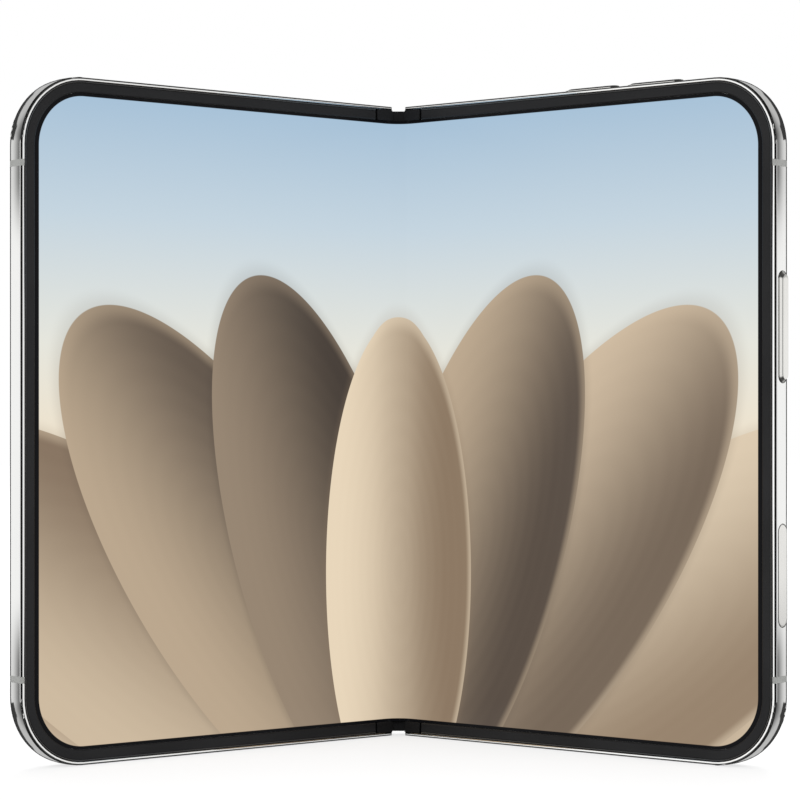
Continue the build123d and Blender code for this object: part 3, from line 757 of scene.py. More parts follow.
@dataclass(frozen=True)
class Picture(Recipe):
    """Lit inner display: a generic picture of paper petals under a pale sky, inside a black border.

    Attributes:
        width: width of the open phone, which the U coordinate spans.
        height: height of the phone, which the V coordinate spans.
        reach: half size of the lit area, across and up.
        corner: corner radius of the lit area.
        soft: half width of the lit area's soft edge.
        root: where the petals grow from, in half picture heights from the centre.
        border: colour of the border.
        glass: colour of the unlit glass over the picture.
        specular: specular level of the shader.
        smooth: roughness where it is cleanest.
        rough: roughness where it is most handled.
        sky: the gradient from bottom to top.
        petals: the petals, from the rearmost to the foremost.
    """

    width: float
    height: float
    reach: tuple[float, float]
    corner: float = 9.1 * MM
    soft: float = 0.04 * MM
    root: tuple[float, float] = (0.0, -1.35)
    border: Colour = (0.0025, 0.0025, 0.003)
    glass: Colour = (0.004, 0.004, 0.004)
    specular: float = 0.06
    smooth: float = 0.12
    rough: float = 0.2
    sky: tuple[Stop, ...] = (
        Stop(0.0, linear(214, 192, 163)),
        Stop(0.42, linear(240, 224, 198)),
        Stop(0.62, linear(229, 229, 220)),
        Stop(0.82, linear(196, 212, 223)),
        Stop(1.0, linear(167, 193, 215)),
    )
    petals: tuple[Petal, ...] = (
        Petal(-74, 2.30, 0.42, linear(222, 205, 180), linear(172, 150, 124)),
        Petal(74, 2.30, 0.42, linear(231, 214, 188), linear(178, 156, 130)),
        Petal(-56, 2.28, 0.42, linear(205, 186, 160), linear(134, 115, 96)),
        Petal(56, 2.28, 0.42, linear(222, 204, 178), linear(150, 130, 108)),
        Petal(-37, 2.10, 0.40, linear(186, 166, 141), linear(96, 84, 73)),
        Petal(37, 2.10, 0.40, linear(208, 188, 162), linear(116, 101, 86)),
        Petal(-19, 1.92, 0.36, linear(150, 133, 114), linear(70, 62, 56)),
        Petal(19, 1.92, 0.36, linear(190, 170, 145), linear(88, 77, 68)),
        Petal(0, 1.70, 0.32, linear(232, 214, 187), linear(140, 120, 99)),
    )

    def _inside(self, graph: Graph, x: Any, z: Any) -> bpy.types.NodeSocket:
        """Mask of the lit area with its round corners.

        Args:
            graph: the material's graph.
            x: distance from the picture's centre across.
            z: distance from the picture's centre up.

        Returns:
            1 inside the lit area and 0 on the black border.
        """
        over = [
            graph.calc("SUBTRACT", graph.calc("ABSOLUTE", value), half - self.corner)
            for value, half in zip((x, z), self.reach)
        ]
        rounded = graph.length(*[graph.calc("MAXIMUM", value, 0.0) for value in over])
        return graph.below(rounded, self.corner, self.soft)

    def inputs(self, graph: Graph, place: bpy.types.NodeSocket, effects: Effects) -> dict[str, Any]:
        """The petals over the sky, lit from within, and the black border."""
        u, v, _ = graph.split(graph.coordinates("UV"))
        x = graph.calc("MULTIPLY", graph.calc("SUBTRACT", u, 0.5), self.width)
        z = graph.calc("MULTIPLY", graph.calc("SUBTRACT", v, 0.5), self.height)
        across, up = (graph.calc("DIVIDE", value, self.reach[1]) for value in (x, z))
        stops = [(stop.height, stop.colour) for stop in self.sky]
        colour = graph.ramp(graph.calc("MULTIPLY_ADD", up, 0.5, 0.5), stops)
        parts = [graph.calc("SUBTRACT", value, start) for value, start in zip((across, up), self.root)]
        point = graph.add("ShaderNodeCombineXYZ", dict(enumerate(parts))).outputs[0]
        for petal in self.petals:
            colour = graph.group(
                effects.petal,
                Point=point,
                Beneath=colour,
                Angle=math.radians(petal.angle),
                Length=petal.length,
                Width=petal.width,
                Lit=rgba(petal.lit),
                Shaded=rgba(petal.shaded),
            )
        lit, border = self._inside(graph, x, z), rgba(self.border)
        return {
            "Emission Color": graph.blend(lit, border, colour),
            "Emission Strength": 1.0,
            "Base Color": graph.blend(lit, border, rgba(self.glass)),
            "Specular IOR Level": self.specular,
        }


class Finish(Enum):
    """Every finish of the phone; a value is the record's slot or a special finish's own name."""

    POLISHED_METAL = "polished_metal"
    ANTENNA_PLASTIC = "antenna_plastic"
    BLACK_BEZEL = "black_bezel"
    INNER_SCREEN = "inner_screen"
    INNER_ALUMINIUM = "inner_aluminium"
    REAR_GLASS = "rear_glass"
    DARK_GLASS = "dark_glass"
    CLEAR_WINDOW = "clear_window"
    CELL_POUCH = "cell_pouch"
    CIRCUIT_BOARD = "circuit_board"
    STEEL = "steel"
    COPPER = "copper"
    BLACK_PLASTIC = "black_plastic"
    KEY_METAL = "key_metal"
    TRIM = "trim"
    SOFT_PAD = "soft_pad"
    LENS_COATING = "lens_coating"
    SATIN_METAL = "satin_metal"


def grey(level: float, blue: float | None = None) -> Colour:
    """A grey, with its blue raised or lowered where given."""
    return level, level, level if blue is None else blue


class Palette:
    """All materials of the phone, each made once."""

    def __init__(self, width: float, height: float, reach: tuple[float, float]) -> None:
        """Builds every finish.

        Args:
            width: width of the open phone.
            height: height of the phone.
            reach: half size of the lit area of the inner screen.
        """
        effects = Effects()
        pale, shade = linear(176, 177, 174), linear(168, 169, 166)
        drawn, even = (4000.0, 4000.0, 60.0), (5200.0,) * 3
        recipes: dict[Finish, Recipe] = {
            Finish.POLISHED_METAL: Metal(grey(0.93, 0.915), 0.045, 0.085, relief=0.004, tone=0.03),
            Finish.ANTENNA_PLASTIC: Moulded(pale, shade, 0.3, 0.42, specular=0.4),
            Finish.KEY_METAL: Metal((0.86, 0.85, 0.82), 0.10, 0.16, relief=0.0015, tone=0.03),
            Finish.BLACK_BEZEL: Moulded(grey(0.013, 0.014), grey(0.016, 0.017), 0.3, 0.42, specular=0.27),
            Finish.TRIM: Moulded(grey(0.026, 0.027), grey(0.03, 0.031), 0.14, 0.2, specular=1.0),
            Finish.SOFT_PAD: Moulded(grey(0.011, 0.012), grey(0.015, 0.016), 0.5, 0.62, 16000.0, 0.3, 0.2),
            Finish.INNER_SCREEN: Picture(width, height, reach),
            Finish.INNER_ALUMINIUM: Metal((0.80, 0.81, 0.80), 0.26, 0.36, even, 0.012, 0.02),
            Finish.SATIN_METAL: Metal(grey(0.88, 0.87), 0.2, 0.27, drawn, 0.006, 0.02),
            Finish.REAR_GLASS: Moulded(
                grey(0.74, 0.72), grey(0.77, 0.75), 0.34, 0.42, 6000.0, 0.03, 0.5, 0.15
            ),
            Finish.DARK_GLASS: Moulded(grey(0.010, 0.012), grey(0.012, 0.014), 0.03, 0.07, 60.0, 0.0),
            Finish.CLEAR_WINDOW: Moulded(
                (0.88, 0.84, 0.70), (0.92, 0.89, 0.78), 0.1, 0.18, 3000.0, 0.1, 0.6, 0.5
            ),
            Finish.CELL_POUCH: Moulded(grey(0.035, 0.04), grey(0.055, 0.06), 0.35, 0.5, 2600.0, 0.3),
            Finish.CIRCUIT_BOARD: Traced((0.012, 0.075, 0.05), (0.02, 0.12, 0.075), (0.75, 0.58, 0.3)),
            Finish.STEEL: Metal(grey(0.60), 0.2, 0.32, (12000.0, 12000.0, 300.0), 0.08, 0.15),
            Finish.COPPER: Metal((0.78, 0.42, 0.26), 0.25, 0.4, (7000.0,) * 3, 0.2, 0.3),
            Finish.BLACK_PLASTIC: Moulded(grey(0.018), grey(0.026), 0.4, 0.55, 14000.0),
            Finish.LENS_COATING: Moulded(
                (0.012, 0.014, 0.035), (0.03, 0.012, 0.04), 0.02, 0.05, 120.0, 0.0, 0.7, 1.0
            ),
        }
        self.materials = {finish: recipe.make(finish.value, effects) for finish, recipe in recipes.items()}

    def __getitem__(self, finish: Finish) -> bpy.types.Material:
        """The material of a finish."""
        return self.materials[finish]

    def dress_nodes(self, nodes: Iterable[bpy.types.Object]) -> None:
        """Gives each carried-over CAD node the material of its slot."""
        for node in nodes:
            for index, given in enumerate(node.data.materials):
                node.data.materials[index] = self[Finish(given.name.split(".")[0])]


# ------------------------------------------------------------------ mesh work
def edges_of(found: Iterable[Any]) -> list[bmesh.types.BMEdge]:
    """The edges among some bmesh elements."""
    return [item for item in found if isinstance(item, bmesh.types.BMEdge)]


def verts_of(found: Iterable[Any]) -> list[bmesh.types.BMVert]:
    """The vertices among some bmesh elements."""
    return [item for item in found if isinstance(item, bmesh.types.BMVert)]


def soften(
    bm: bmesh.types.BMesh, geom: Sequence[Any], radius: float, steps: int, affect: str = "EDGES"
) -> None:
    """Rounds edges or vertices.

    Args:
        bm: mesh that holds them.
        geom: the edges or vertices.
        radius: radius of the rounding.
        steps: segments of the rounding.
        affect: EDGES or VERTICES.
    """
    bmesh.ops.bevel(
        bm, geom=geom, offset=radius, offset_type="OFFSET", segments=steps,
        profile=0.5, affect=affect, clamp_overlap=False, material=-1,
    )


def outline(bm: bmesh.types.BMesh, corners: Sequence[Corner], steps: int) -> bmesh.types.BMFace:
    """Draws one flat face with rounded corners.

    Args:
        bm: mesh that takes the face.
        corners: place and rounding radius of each corner, in order.
        steps: segments of a rounded corner.

    Returns:
        The face.
    """
    known = set(bm.faces)
    verts = [bm.verts.new(place) for place, _ in corners]
    bmesh.ops.contextual_create(bm, geom=verts)
    for vert, (_, radius) in zip(verts, corners):
        if radius > 0:
            soften(bm, [vert], radius, steps, "VERTICES")
    return next(face for face in bm.faces if face not in known)


def section(bm: bmesh.types.BMesh, corners: Sequence[Corner], steps: int) -> list[bmesh.types.BMEdge]:
    """Draws the closed edge of a flat form with rounded corners and gives its edges."""
    face = outline(bm, corners, steps)
    edges = list(face.edges)
    bmesh.ops.delete(bm, geom=[face], context="FACES_ONLY")
    return edges


def thicken(bm: bmesh.types.BMesh, face: bmesh.types.BMFace, step: Vector) -> bmesh.types.BMFace:
    """Extrudes a face into a closed plate.

    Args:
        bm: mesh that holds the face.
        face: the face at the plate's start.
        step: how far and where the other face goes.

    Returns:
        The face at the far end.
    """
    grown = bmesh.ops.extrude_face_region(bm, geom=[face], use_keep_orig=True)["geom"]
    bmesh.ops.translate(bm, vec=step, verts=verts_of(grown))
    return next(item for item in grown if isinstance(item, bmesh.types.BMFace))


def drawn_on(
    bm: bmesh.types.BMesh, edges: Sequence[bmesh.types.BMEdge], step: Vector
) -> list[bmesh.types.BMEdge]:
    """Extrudes edges straight on and gives the new ones."""
    grown = bmesh.ops.extrude_edge_only(bm, edges=edges)["geom"]
    bmesh.ops.translate(bm, vec=step, verts=verts_of(grown))
    return edges_of(grown)


def spun(
    bm: bmesh.types.BMesh, edges: Sequence[bmesh.types.BMEdge], centre: Vector, axis: Vector, angle: float,
    steps: int, closed: bool = False,
) -> list[bmesh.types.BMEdge]:
    """Spins edges round an axis.

    Args:
        bm: mesh that holds the edges.
        edges: the edges.
        centre: point on the axis.
        axis: direction of the axis.
        angle: how far they turn.
        steps: segments of the turn.
        closed: whether the turn's end joins its start.

    Returns:
        The edges at the end of the turn.
    """
    verts = dict.fromkeys(vert for edge in edges for vert in edge.verts)
    made = bmesh.ops.spin(
        bm, geom=[*verts, *edges], cent=centre, axis=axis, angle=angle, steps=steps, use_merge=closed
    )
    return edges_of(made["geom_last"])


def lathe(
    profile: Sequence[tuple[float, float, float]],
    centres: Sequence[Vector],
    steps: int = 72,
    rounding: int = 4,
) -> bmesh.types.BMesh:
    """Turns a profile about the Y axis through each of some centres.

    Args:
        profile: radius, depth and rounding of each corner; it may start and end on the axis.
        centres: points on the axes; their Y isn't used.
        steps: segments of the full turn.
        rounding: segments of a rounded corner.

    Returns:
        A mesh with the turned forms.
    """
    bm = bmesh.new()
    for centre in centres:
        corners = [(Vector((centre.x + radius, depth, centre.z)), bend) for radius, depth, bend in profile]
        edges = section(bm, corners, rounding)
        axial = [
            edge for edge in edges if all(abs(vert.co.x - centre.x) <= MERGE_DISTANCE for vert in edge.verts)
        ]
        turned = [edge for edge in edges if edge not in axial]
        bmesh.ops.delete(bm, geom=axial, context="EDGES_FACES")
        spun(bm, turned, centre, Vector((0, 1, 0)), math.tau, steps, closed=True)
    return bm


def finished(
    bm: bmesh.types.BMesh,
    name: str,
    place: Matrix | None,
    material: bpy.types.Material,
    crease: float = 32.0,
    even: bool = True,
) -> bpy.types.Object:
    """Closes a bmesh into a finished piece.

    Args:
        bm: the mesh, which is freed.
        name: the piece's name.
        place: matrix that carries it to the row frame, or None where it is there.
        material: its material.
        crease: angle in degrees above which an edge stays sharp.
        even: whether large faces lead the shading.

    Returns:
        The piece, not yet riding on a body.
    """
    bmesh.ops.remove_doubles(bm, verts=bm.verts, dist=MERGE_DISTANCE)
    if place is not None:
        bmesh.ops.transform(bm, matrix=place, verts=bm.verts)
    bmesh.ops.recalc_face_normals(bm, faces=bm.faces)
    mesh = bpy.data.meshes.new(name)
    bm.to_mesh(mesh)
    bm.free()
    mesh.shade_smooth()
    mesh.set_sharp_from_angle(angle=math.radians(crease))
    mesh.materials.append(material)
    piece = bpy.data.objects.new(name, mesh)
    bpy.context.scene.collection.objects.link(piece)
    if even:
        piece.modifiers.new("even_shading", "WEIGHTED_NORMAL").keep_sharp = True
    return piece


def placed(piece: bpy.types.Object, body: str, finish: Finish, *nodes: str) -> bpy.types.Object:
    """Lets a piece ride on a body and stand for CAD nodes.

    Args:
        piece: the finished piece.
        body: the CAD body it rides on.
        finish: its record slot; not used.
        nodes: the CAD nodes that it stands for.

    Returns:
        The same piece.
    """
    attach(piece, body)
    if nodes:
        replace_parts(piece, *nodes)
    return piece


def on_half(
    bm: bmesh.types.BMesh,
    name: str,
    flat: FlatFrame,
    palette: Palette,
    finish: Finish,
    *nodes: str,
    slot: Finish | None = None,
    crease: float = 32.0,
) -> bpy.types.Object:
    """Finishes a mesh drawn in a half's flat frame and lets it ride on that half.

    Args:
        bm: the mesh, which is freed.
        name: the piece's name.
        flat: flat frame of the half.
        palette: the materials.
        finish: its finish.
        nodes: the CAD nodes that it stands for.
        slot: the record's slot where it isn't the finish's own.
        crease: angle in degrees above which an edge stays sharp.

    Returns:
        The piece.
    """
    piece = finished(bm, name, flat.matrix, palette[finish], crease)
    return placed(piece, flat.side.body, slot or finish, *nodes)


@dataclass(frozen=True)
class Course:
    """U-shaped course along the three outer edges of one half, from the spine and back to it.

    Attributes:
        start: X where it starts and ends.
        outer: X of the outer edge.
        height: height of the half.
        radius: corner radius of the half.
        steps: segments of one corner.
    """

    start: float
    outer: float
    height: float
    radius: float
    steps: int = 24

    def sweep(self, profile: Sequence[tuple[float, float, float]], rounding: int = 3) -> bmesh.types.BMesh:
        """Sweeps a closed section along the course.

        Args:
            profile: distance in from the outline, depth and rounding of each corner.
            rounding: segments of a rounded corner.

        Returns:
            A mesh with the bar.
        """
        bm = bmesh.new()
        corners = [(Vector((self.start, depth, inset)), radius) for inset, depth, radius in profile]
        first = section(bm, corners, rounding)
        reach = self.outer - self.radius - self.start
        edges = drawn_on(bm, first, Vector((reach, 0, 0)))
        for z, step in (
            (self.radius, Vector((0, 0, self.height - 2 * self.radius))),
            (self.height - self.radius, Vector((-reach, 0, 0))),
        ):
            centre = Vector((self.outer - self.radius, 0, z))
            edges = spun(bm, edges, centre, Vector((0, -1, 0)), math.pi / 2, self.steps)
            edges = drawn_on(bm, edges, step)
        for end in (first, edges):
            bmesh.ops.edgeloop_fill(bm, edges=end)
        return bm


def taken_over(node: str, ease: float, place: Matrix | None = None, facet: float = 0.2) -> bmesh.types.BMesh:
    """Copies a CAD solid, merges its facets and eases its crisp edges.

    Args:
        node: the CAD node.
        ease: radius of the eased edges.
        place: matrix to carry the copy by, or None.
        facet: angle in degrees below which facets merge.

    Returns:
        The copy.
    """
    bm = bmesh.new()
    bm.from_mesh(FRAME["nodes"][node].data)
    if place is not None:
        bmesh.ops.transform(bm, matrix=place, verts=bm.verts)
    bmesh.ops.remove_doubles(bm, verts=bm.verts, dist=MERGE_DISTANCE)
    bmesh.ops.dissolve_limit(bm, angle_limit=math.radians(facet), verts=bm.verts, edges=bm.edges)
    limit = math.radians(CRISP)
    crisp = [edge for edge in bm.edges if edge.is_manifold and edge.calc_face_angle() > limit]
    if ease > 0:
        soften(bm, crisp, ease, 2)
    return bm


@dataclass
class Refined:
    """A CAD solid taken over as a piece of its own, with its crisp edges eased.

    Attributes:
        node: the CAD node.
        name: the piece's name.
        finish: its finish.
        ease: radius of the eased edges.
        slot: the record's slot where it isn't the finish's own.
    """

    node: str
    name: str
    finish: Finish
    ease: float = 0.04 * MM
    slot: Finish | None = None

    def build(self, palette: Palette) -> bpy.types.Object:
        """Builds the piece and lets it ride where its node does."""
        bm = taken_over(self.node, self.ease)
        piece = finished(bm, self.name, None, palette[self.finish], CRISP)
        return placed(piece, FRAME["nodes"][self.node]["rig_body"], self.slot or self.finish, self.node)


@dataclass
class Crowned:
    """An outer part of one half, taken over with a crowned side and evenly turning shade.

    Attributes:
        node: the CAD node.
        name: the piece's name.
        finish: its finish.
        flat: flat frame of the half.
        form: outer form of the half.
        ease: radius of the eased edges.
        same_way: least cosine between a facet and the ideal surface for it to count as outer.
        LEAN: name of the layer that holds each vertex's lean.
        NO_LEAN: what it holds off the outer surface.
    """

    node: str
    name: str
    finish: Finish
    flat: FlatFrame
    form: Outline
    ease: float = 0.03 * MM
    same_way: float = 0.4
    LEAN: ClassVar[str] = "lean"
    NO_LEAN: ClassVar[float] = 9.0

    def _form(self, bm: bmesh.types.BMesh) -> None:
        """Cuts the side into strips, carries them to the crowned form and keeps each vertex's lean."""
        for depth in self.form.cuts:
            bmesh.ops.bisect_plane(
                bm, geom=[*bm.verts, *bm.edges, *bm.faces], dist=MERGE_DISTANCE,
                plane_co=(0, depth, 0), plane_no=(0, 1, 0),
            )
        lean = bm.verts.layers.float.new(self.LEAN)
        for vert in bm.verts:
            formed = self.form.formed(vert.co)
            vert.co, vert[lean] = formed if formed else (vert.co, self.NO_LEAN)

    def _shade(self, mesh: bpy.types.Mesh) -> None:
        """Turns the shading of the outer surface the way the ideal surface faces."""
        back, spin = self.flat.matrix.inverted(), self.flat.matrix.to_3x3()
        leans = mesh.attributes[self.LEAN].data
        facing = [corner.vector.copy() for corner in mesh.corner_normals]
        for face in mesh.polygons:
            for loop in face.loop_indices:
                index = mesh.loops[loop].vertex_index
                lean = leans[index].value
                if lean == self.NO_LEAN:
                    continue
                ideal = (spin @ self.form.facing(back @ mesh.vertices[index].co, lean)).normalized()
                if ideal.dot(face.normal) > self.same_way:
                    facing[loop] = ideal
        mesh.attributes.remove(mesh.attributes[self.LEAN])
        mesh.normals_split_custom_set(facing)

    def build(self, palette: Palette) -> bpy.types.Object:
        """Builds the piece and lets it ride where its node does."""
        bm = taken_over(self.node, self.ease, self.flat.matrix.inverted())
        self._form(bm)
        piece = finished(bm, self.name, self.flat.matrix, palette[self.finish], CRISP, even=False)
        self._shade(piece.data)
        return placed(piece, FRAME["nodes"][self.node]["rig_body"], self.finish, self.node)


# ------------------------------------------------------------------ sub-assemblies
@dataclass(frozen=True)
class BentSheet:
    """One side of a sheet that bends across the spine, drawn for the right half.

    Attributes:
        flat: flat frame of the right half.
        low: lowest corner of the stiff part that it meets, in the flat frame.
        thick: thickness of the sheet.
        sink: how far it lies behind the stiff part's face.
        steps: segments of the bend.
        margin: share of the thickness by which the bend's faces may lie ahead of its end.
    """

    flat: FlatFrame
    low: Vector
    thick: float
    sink: float = 0.0
    steps: int = 10
    margin: float = 0.1

    @property
    def crest(self) -> float:
        """Y of the sheet's face in the middle of the fold."""
        return self.low.y + self.sink + self.flat.pin[1] - self.flat.pin_depth

    @property
    def edge(self) -> Vector:
        """Where the sheet's face meets the stiff part, in the row frame."""
        return self.flat.matrix @ (self.low + Vector((0, self.sink, 0)))

    @property
    def radius(self) -> float:
        """Radius of the bend, so that it leaves the middle square and meets the stiff part in line."""
        crossing = self.edge.y + self.edge.x * math.tan(self.flat.turn)
        return (crossing - self.crest) * math.cos(self.flat.turn) / (1 - math.cos(self.flat.turn))

    @property
    def tangent(self) -> Vector:
        """End of the bend, where the straight run starts."""
        turn, radius = self.flat.turn, self.radius
        return Vector((radius * math.sin(turn), self.crest - radius * (1 - math.cos(turn)), self.edge.z))

    def draw(self, bm: bmesh.types.BMesh, bottom: float, top: float) -> None:
        """Adds the sheet between two heights.

        Args:
            bm: mesh that takes it.
            bottom: height of its lower edge.
            top: height of its upper edge.
        """
        depths = (self.crest, self.crest + self.thick)
        places = ((depths[0], bottom), (depths[0], top), (depths[1], top), (depths[1], bottom))
        first = section(bm, [(Vector((0, y, z)), 0.0) for y, z in places], 1)
        centre = Vector((0, self.crest - self.radius, 0))
        edges = spun(bm, first, centre, Vector((0, 0, -1)), self.flat.turn, self.steps)
        edges = drawn_on(bm, edges, self.edge - self.tangent)
        for end in (first, edges):
            bmesh.ops.edgeloop_fill(bm, edges=end)

    def across(self, point: Vector) -> float:
        """Distance from the fold's middle along the sheet, scaled to meet the stiff part."""
        arc = self.radius * self.flat.turn
        run = (self.edge - self.tangent).length
        if point.x <= self.tangent.x + self.thick and point.y >= self.tangent.y - self.thick * self.margin:
            share = math.atan2(point.x, point.y - self.crest + self.radius) * self.radius
        else:
            share = arc + (point.xy - self.tangent.xy).length
        return min(share, arc + run) * self.low.x / (arc + run)


@dataclass
class InnerScreen:
    """Inner display: a stiff part on each half, the sheet that bends between them, and its end seals.

    Attributes:
        flats: the flat frames of the halves.
        form: outer form of a half.
        corner: corner radius of the panels.
        corner_steps: segments of such a corner.
        seal_sink: how far the seals lie behind the screen's face.
        seal_thick: thickness of the seals.
        seal_inset: distance from the phone's end to a seal's outer edge.
        seal_reach: half width of a seal, from the fold's middle.
        crease: angle in degrees above which a bent piece's edge stays sharp.
    """

    flats: dict[Side, FlatFrame]
    form: Outline
    corner: float = 9.5 * MM
    corner_steps: int = 24
    seal_sink: float = 0.5 * MM
    seal_thick: float = 0.16 * MM
    seal_inset: float = 0.95 * MM
    seal_reach: float = 4.6 * MM
    crease: float = 60.0

    def _paint(self, bm: bmesh.types.BMesh, side: Side, across: Callable[[Vector], float]) -> None:
        """Writes the picture's coordinates.

        Args:
            bm: the mesh, still in its flat frame.
            side: which half.
            across: gives the distance from the fold's middle for a point.
        """
        layer = bm.loops.layers.uv.new("picture")
        for face in bm.faces:
            for loop in face.loops:
                u = 0.5 + side.value * across(loop.vert.co) / (2 * self.form.outer)
                loop[layer].uv = (u, loop.vert.co.z / self.form.height)

    def _panel(self, side: Side, palette: Palette) -> None:
        """Builds the stiff part of one half."""
        node = f"{side.word}_screen_panel"
        low, high = self.flats[side].extent(node)
        bm = bmesh.new()
        corners = [
            (Vector((low.x, low.y, low.z)), 0.0),
            (Vector((high.x, low.y, low.z)), self.corner),
            (Vector((high.x, low.y, high.z)), self.corner),
            (Vector((low.x, low.y, high.z)), 0.0),
        ]
        thicken(bm, outline(bm, corners, self.corner_steps), Vector((0, high.y - low.y, 0)))
        self._paint(bm, side, lambda point: point.x)
        on_half(bm, f"{side.word}_display", self.flats[side], palette, Finish.INNER_SCREEN, node)

    def _join(
        self, piece: bpy.types.Object
    ) -> bpy.types.Object:
        """Bakes a bent piece's placement into its mesh.

        Args:
            piece: the finished piece.

        Returns:
            The same piece.
        """
        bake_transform(piece)
        return piece

    def _bend(self, side: Side, palette: Palette) -> bpy.types.Object:
        """Builds one side of the bending screen, from the middle of the fold to the stiff part."""
        low, high = self.flats[Side.RIGHT].extent("right_screen_panel")
        sheet = BentSheet(self.flats[Side.RIGHT], low, high.y - low.y)
        bm = bmesh.new()
        sheet.draw(bm, low.z, high.z)
        self._paint(bm, side, sheet.across)
        name = f"{side.word}_display_bend"
        piece = finished(bm, name, side.mirror, palette[Finish.INNER_SCREEN], self.crease)
        return self._join(piece)

    def _seals(self, side: Side, palette: Palette) -> None:
        """Builds the black seals above and below the bending screen, on one side."""
        low, high = self.flats[Side.RIGHT].extent("right_screen_panel")
        start = Vector((self.seal_reach, low.y, low.z))
        sheet = BentSheet(self.flats[Side.RIGHT], start, self.seal_thick, self.seal_sink)
        bm = bmesh.new()
        top = self.form.height - self.seal_inset
        sheet.draw(bm, self.seal_inset, low.z)
        sheet.draw(bm, high.z, top)
        name = f"{side.word}_fold_seals"
        piece = finished(bm, name, side.mirror, palette[Finish.SOFT_PAD], self.crease)
        self._join(piece)

    def build(self, palette: Palette) -> None:
        """Builds the stiff parts, both sides of the bend and the seals."""
        for side in Side:
            self._panel(side, palette)
            self._seals(side, palette)
        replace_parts(self._bend(Side.RIGHT, palette), "screen_fold")
        self._bend(Side.LEFT, palette)


@dataclass
class Surround:
    """Black surround of the inner screen: a ring and a shiny trim on each half, and soft pads by the fold.

    Attributes:
        flats: the flat frames of the halves.
        form: outer form of a half.
        bead: width of the trim at the ring's outer edge.
        groove: width and depth of the grooves beside the trim.
        sunk: how far the ring's face lies below the trim.
        slope: width of the ring's inner slope.
        inner: distance from the outline to the ring's inner edge.
        fall: depth of the ring's inner slope.
        bead_round: radius of the trim's edges.
        crisp_round: radius of the ring's edges at the groove and at the screen.
        soft_round: radius of the ring's edge at the start of its slope.
        pad_corner: radius of the pads' corners, seen from the front.
        pad_round: radius of the pads' front edges.
        pad_gap: how far a pad's face stays from the other half's when the phone is shut.
        pad_crease: angle in degrees above which a pad's edge stays sharp.
        pad_steps: segments of a pad's corner and of its front edge.
    """

    flats: dict[Side, FlatFrame]
    form: Outline
    bead: float = 0.24 * MM
    groove: float = 0.09 * MM
    sunk: float = 0.09 * MM
    slope: float = 0.2 * MM
    inner: float = 2.8 * MM
    fall: float = 0.1 * MM
    bead_round: float = 0.09 * MM
    crisp_round: float = 0.03 * MM
    soft_round: float = 0.08 * MM
    pad_corner: float = 0.26 * MM
    pad_round: float = 0.13 * MM
    pad_gap: float = 0.04 * MM
    pad_crease: float = 50.0
    pad_steps: tuple[int, int] = (3, 4)

    def _course(self, low: Vector) -> Course:
        """Course along the outer edges of a half, from where its node starts."""
        return Course(low.x, self.form.outer, self.form.height, self.form.corner)

    def _trim(self, side: Side, palette: Palette) -> None:
        """Builds the thin shiny trim between the lip and the ring of one half."""
        low, high = self.flats[side].extent(f"{side.word}_bezel_ring")
        edge = self.form.outer - high.x + self.groove
        deep = low.y + 2 * self.groove
        profile = [
            (edge, deep, 0.0),
            (edge, low.y, self.bead_round),
            (edge + self.bead, low.y, self.bead_round),
            (edge + self.bead, deep, 0.0),
        ]
        bm, name = self._course(low).sweep(profile), f"{side.word}_trim"
        on_half(bm, name, self.flats[side], palette, Finish.TRIM, slot=Finish.BLACK_BEZEL)

    def _ring(self, side: Side, palette: Palette) -> None:
        """Builds the ring of one half."""
        node = f"{side.word}_bezel_ring"
        low, high = self.flats[side].extent(node)
        edge = self.form.outer - high.x
        start = edge + 2 * self.groove + self.bead
        face = low.y + self.sunk
        profile = [
            (edge, high.y, 0.0),
            (edge, low.y + 2 * self.groove, 0.0),
            (start, low.y + 2 * self.groove, 0.0),
            (start, face, self.crisp_round),
            (self.inner - self.slope, face, self.soft_round),
            (self.inner, face + self.fall, self.crisp_round),
            (self.inner, high.y, 0.0),
        ]
        bm, name = self._course(low).sweep(profile), f"{side.word}_surround"
        on_half(bm, name, self.flats[side], palette, Finish.BLACK_BEZEL, node)

    def _pads(self, side: Side, palette: Palette) -> None:
        """Builds the two soft pads of one half."""
        node = f"{side.word}_fold_pads"
        low, high = self.flats[side].extent(node)
        tall = self.inner - low.z
        corner_steps, edge_steps = self.pad_steps
        bm, name = bmesh.new(), f"{side.word}_soft_pads"
        for start in (low.z, high.z - tall):
            end = start + tall
            places = ((low.x, start), (high.x, start), (high.x, end), (low.x, end))
            corners = [(Vector((x, high.y, z)), self.pad_corner) for x, z in places]
            foot = outline(bm, corners, corner_steps)
            top = thicken(bm, foot, Vector((0, low.y + self.pad_gap - high.y, 0)))
            soften(bm, top.edges[:], self.pad_round, edge_steps)
        slot, crease = Finish.BLACK_BEZEL, self.pad_crease
        on_half(bm, name, self.flats[side], palette, Finish.SOFT_PAD, node, slot=slot, crease=crease)

    def build(self, palette: Palette) -> None:
        """Builds the rings and pads of both halves."""
        for side in Side:
            self._ring(side, palette)
            self._trim(side, palette)
            self._pads(side, palette)


@dataclass
class Metalwork:
    """The silver parts: both frames with their antenna bands, and the spine's cover.

    Attributes:
        flats: the flat frames of the halves.
        form: outer form of a half.
        ease: radius of the spine's eased edges.
    """

    flats: dict[Side, FlatFrame]
    form: Outline
    ease: float = 0.035 * MM

    def build(self, palette: Palette) -> None:
        """Takes over the frames, the bands and the spine's cover."""
        metal, plastic = Finish.POLISHED_METAL, Finish.ANTENNA_PLASTIC
        for side, flat in self.flats.items():
            word = side.word
            Crowned(f"{word}_frame", f"{word}_rim", metal, flat, self.form).build(palette)
            Crowned(f"{word}_antenna_bands", f"{word}_bands", plastic, flat, self.form).build(palette)
        Refined("spine_cover", "spine_shell", Finish.SATIN_METAL, self.ease, metal).build(palette)
        Refined("spine_end_caps", "spine_ends", Finish.BLACK_BEZEL, self.ease).build(palette)


